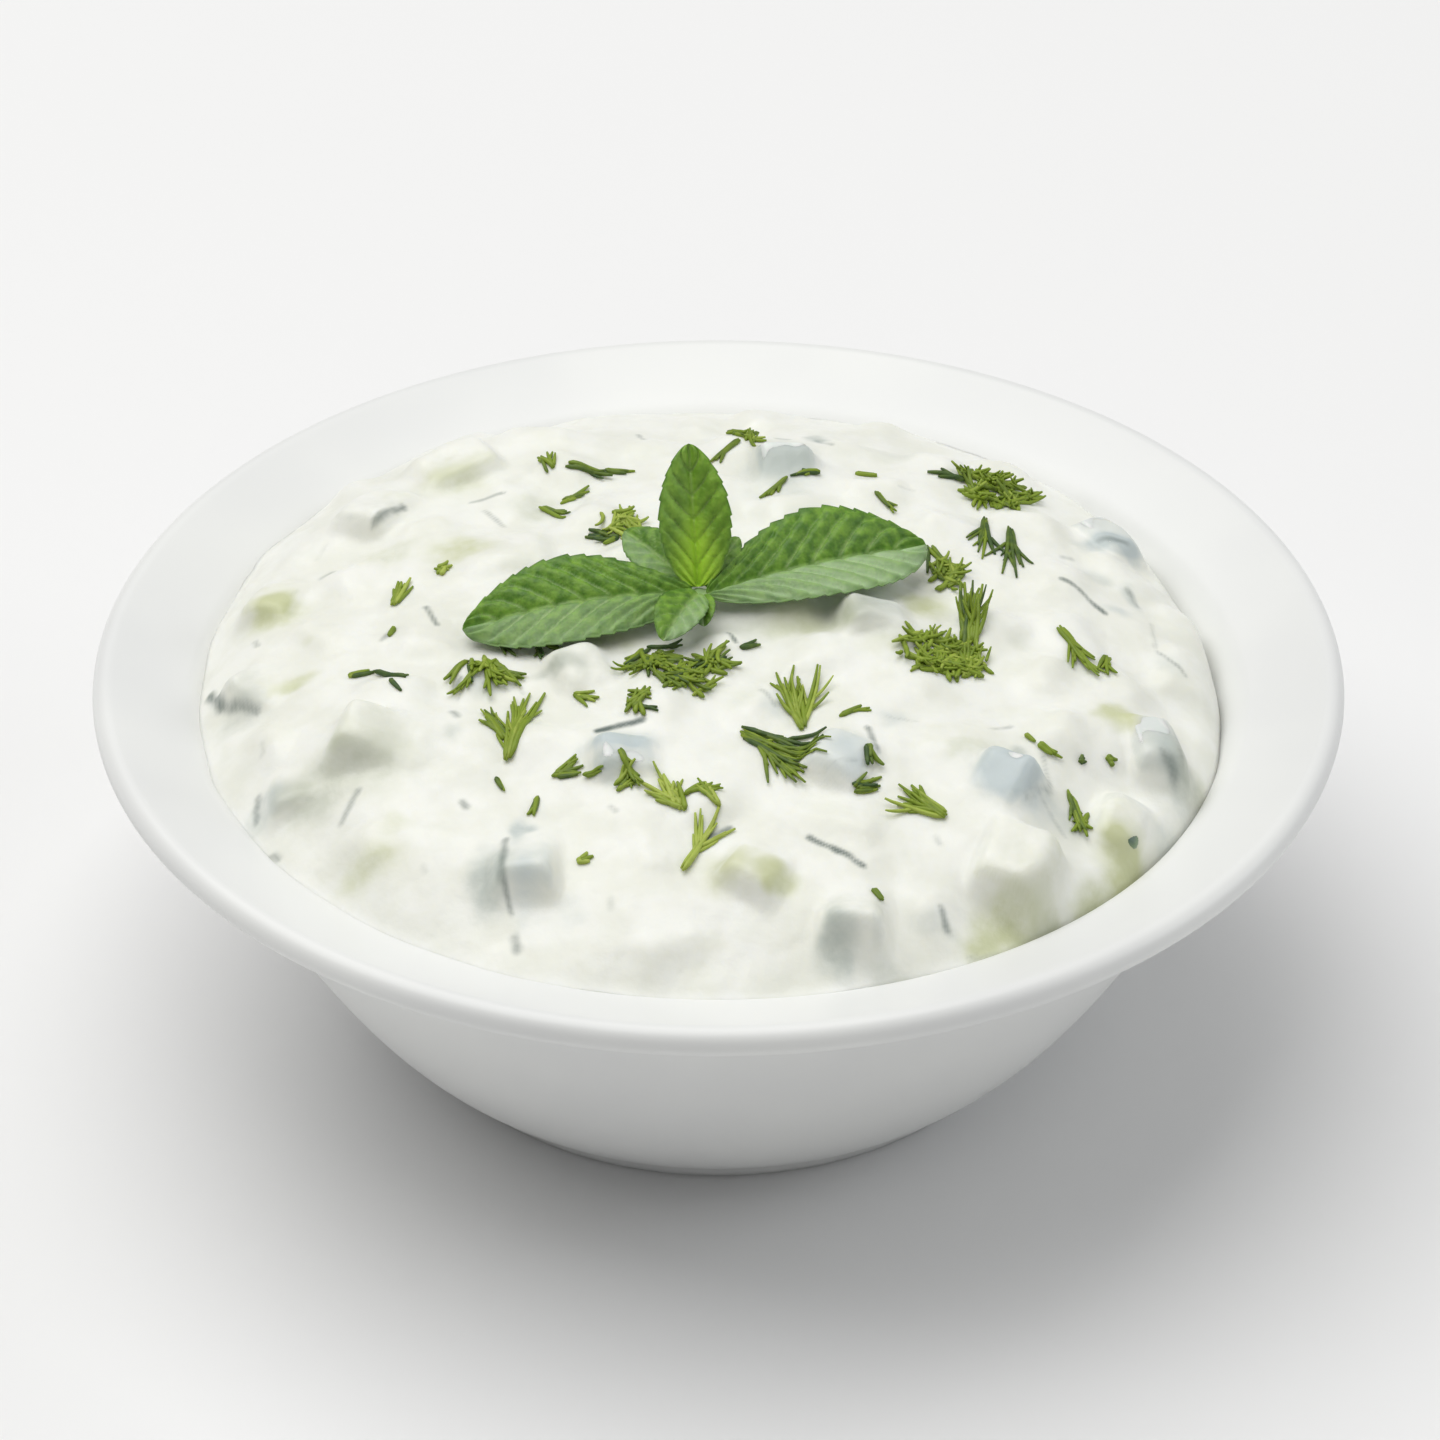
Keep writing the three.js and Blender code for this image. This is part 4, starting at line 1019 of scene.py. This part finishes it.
def dill_threads(seed):
    """All needles as arrays. A needle starts near its tuft's place, heads along the tuft's
    heading swung by a share of the spread, bends by a small turn, and lies on the dip; two
    short side needles leave it on either side."""
    draw = np.random.default_rng(seed)
    x, y, heading, length, number, spread, wide, deep, lift, tone = (
        np.repeat(column, [int(row[4]) for row in TUFTS]) for column in np.array(TUFTS).T)
    total = len(x)
    share = draw.uniform(-0.5, 0.5, total)
    disc_r, disc_t = np.sqrt(draw.uniform(0, 1, total)), draw.uniform(0, 2 * pi, total)
    x = x + wide * disc_r * np.cos(disc_t)
    y = y + deep * disc_r * np.sin(disc_t)
    bend = draw.normal(0, 1, total) * (0.12 + 0.6 * (spread > LOOSE))
    heading = np.radians(heading + spread * share)
    length = length * draw.uniform(0.6, 1.0, total)
    back = np.where(spread > LOOSE, length / 2, 0)
    x, y = x - back * np.cos(heading), y - back * np.sin(heading)
    rise = lift * draw.uniform(0.0, 1.0, total)
    tone = np.clip(tone + draw.normal(0, 0.16, total), 0, 1)
    thick = THREAD_R * draw.uniform(0.75, 1.15, total)
    rows = [np.stack([x, y, heading, length, bend, rise, tone, thick, 0 * x], -1)]
    for hand in (-1, 1):
        fork = (length > 3.4) & (draw.uniform(0, 1, total) < 0.6)
        part = draw.uniform(0.2, 0.6, total)
        angle = heading + bend * part
        start_x, start_y = x + part * length * np.cos(angle), y + part * length * np.sin(angle)
        branch = np.stack([start_x, start_y, angle + hand * draw.uniform(0.3, 0.6, total),
                           length * draw.uniform(0.3, 0.5, total), bend * 0.5, rise, tone, thick * 0.8,
                           rise * part**2], -1)
        rows.append(branch[fork])
    return np.vstack(rows)


def dill_paths(threads):
    """Each needle's line: heading plus bend times the share t of its length, laid on the
    dip's surface, with its tip raised by the square of t."""
    x, y, heading, length, bend, rise, tone, thick, start = threads.T[:, :, None]
    t = np.linspace(0, 1, THREAD_STEPS)[None, :]
    angle = heading + bend * t / 2
    px = x + length * t * np.cos(angle)
    py = y + length * t * np.sin(angle)
    ground = sample(dip_z, px, py)
    smooth = (ground + np.maximum(ground.mean(1, keepdims=True), ground)) / 2
    pz = smooth + thick * 0.5 + start + rise * t**2
    radius = thick * (1 - 0.55 * t**3) * np.clip(0.45 + 6 * t, 0, 1)
    return np.stack([px, py, pz], -1), radius, tone + 0 * t


def dill_finish():
    recipe = Recipe("dill")
    tone = recipe.attribute("tone") + (recipe.noise(1.5, 2.0) - 0.5) * 0.5
    colour = recipe.mix(rgb(56, 82, 40), rgb(126, 148, 40), tone.between(-0.1, 0.5))
    colour = recipe.mix(colour, rgb(172, 188, 84), tone.between(0.5, 1.05))
    return recipe.surface(
        Base_Color=colour, Roughness=0.45 + 0.15 * recipe.noise(1.0, 2.0), IOR=1.42,
        Normal=recipe.bump(recipe.noise(0.5, 2.0), 0.1, 0.5), Subsurface_Weight=0.1,
        Subsurface_Radius=(0.5, 1.0, 0.2), Subsurface_Scale=0.5 * MM)


threads = dill_threads(11)
paths, radii, tones = dill_paths(threads)
dill_points, dill_faces = tubes(paths, radii, THREAD_SIDES)
dill = put_mesh("chopped_dill", dill_points, dill_faces, dill_finish(), "mint",
                tone=np.repeat(tones.ravel(), THREAD_SIDES))
print("dill needles", len(threads))

# %% [markdown]
# ## Floor and light
# A plain pale floor and soft studio light: one broad lamp above and behind to the left, which
# shapes the lumps, a weaker one from the right, and an even pale surround. The bowl's wall
# leans out over the floor, so it falls into soft shade by itself.

# %% Floor and lamps
FLOOR_SIZE = 3.0


def floor_finish():
    recipe = Recipe("pale_floor")
    cloud = recipe.noise(300, 2.0)
    colour = recipe.mix(rgb(236, 236, 236), rgb(240, 240, 240), cloud)
    return recipe.surface(Base_Color=colour, Roughness=0.85)


floor_mesh = bpy.data.meshes.new("floor")
half = FLOOR_SIZE / 2
floor_corners = [(-half, -half, 0), (half, -half, 0), (half, half, 0), (-half, half, 0)]
floor_mesh.from_pydata(floor_corners, [], [(0, 1, 2, 3)])
floor_mesh.materials.append(floor_finish())
floor = bpy.data.objects.new("floor", floor_mesh)
bpy.context.scene.collection.objects.link(floor)


def lamp(name, place, size, watts, colour):
    """A square soft lamp that faces the middle of the bowl."""
    light = bpy.data.lights.new(name, "AREA")
    light.size = size
    light.energy = watts
    light.color = colour
    holder = bpy.data.objects.new(name, light)
    holder.location = place
    holder.rotation_euler = (Vector((0, 0, 0.05)) - Vector(place)).to_track_quat("-Z", "Y").to_euler()
    bpy.context.scene.collection.objects.link(holder)


lamp("key_lamp", (-0.4, 0.22, 1.6), 1.8, 28, (1.0, 0.995, 0.98))
lamp("side_lamp", (1.5, 0.1, 0.8), 0.9, 5, (0.93, 0.96, 1.0))
world = bpy.data.worlds.new("surround")
bpy.context.scene.world = world
world.use_nodes = True
world.node_tree.nodes["Background"].inputs["Color"].default_value = (1, 1, 1, 1)
world.node_tree.nodes["Background"].inputs["Strength"].default_value = 0.26
bpy.context.scene.view_settings.view_transform = "Standard"
print("lamps", len(bpy.data.lights))
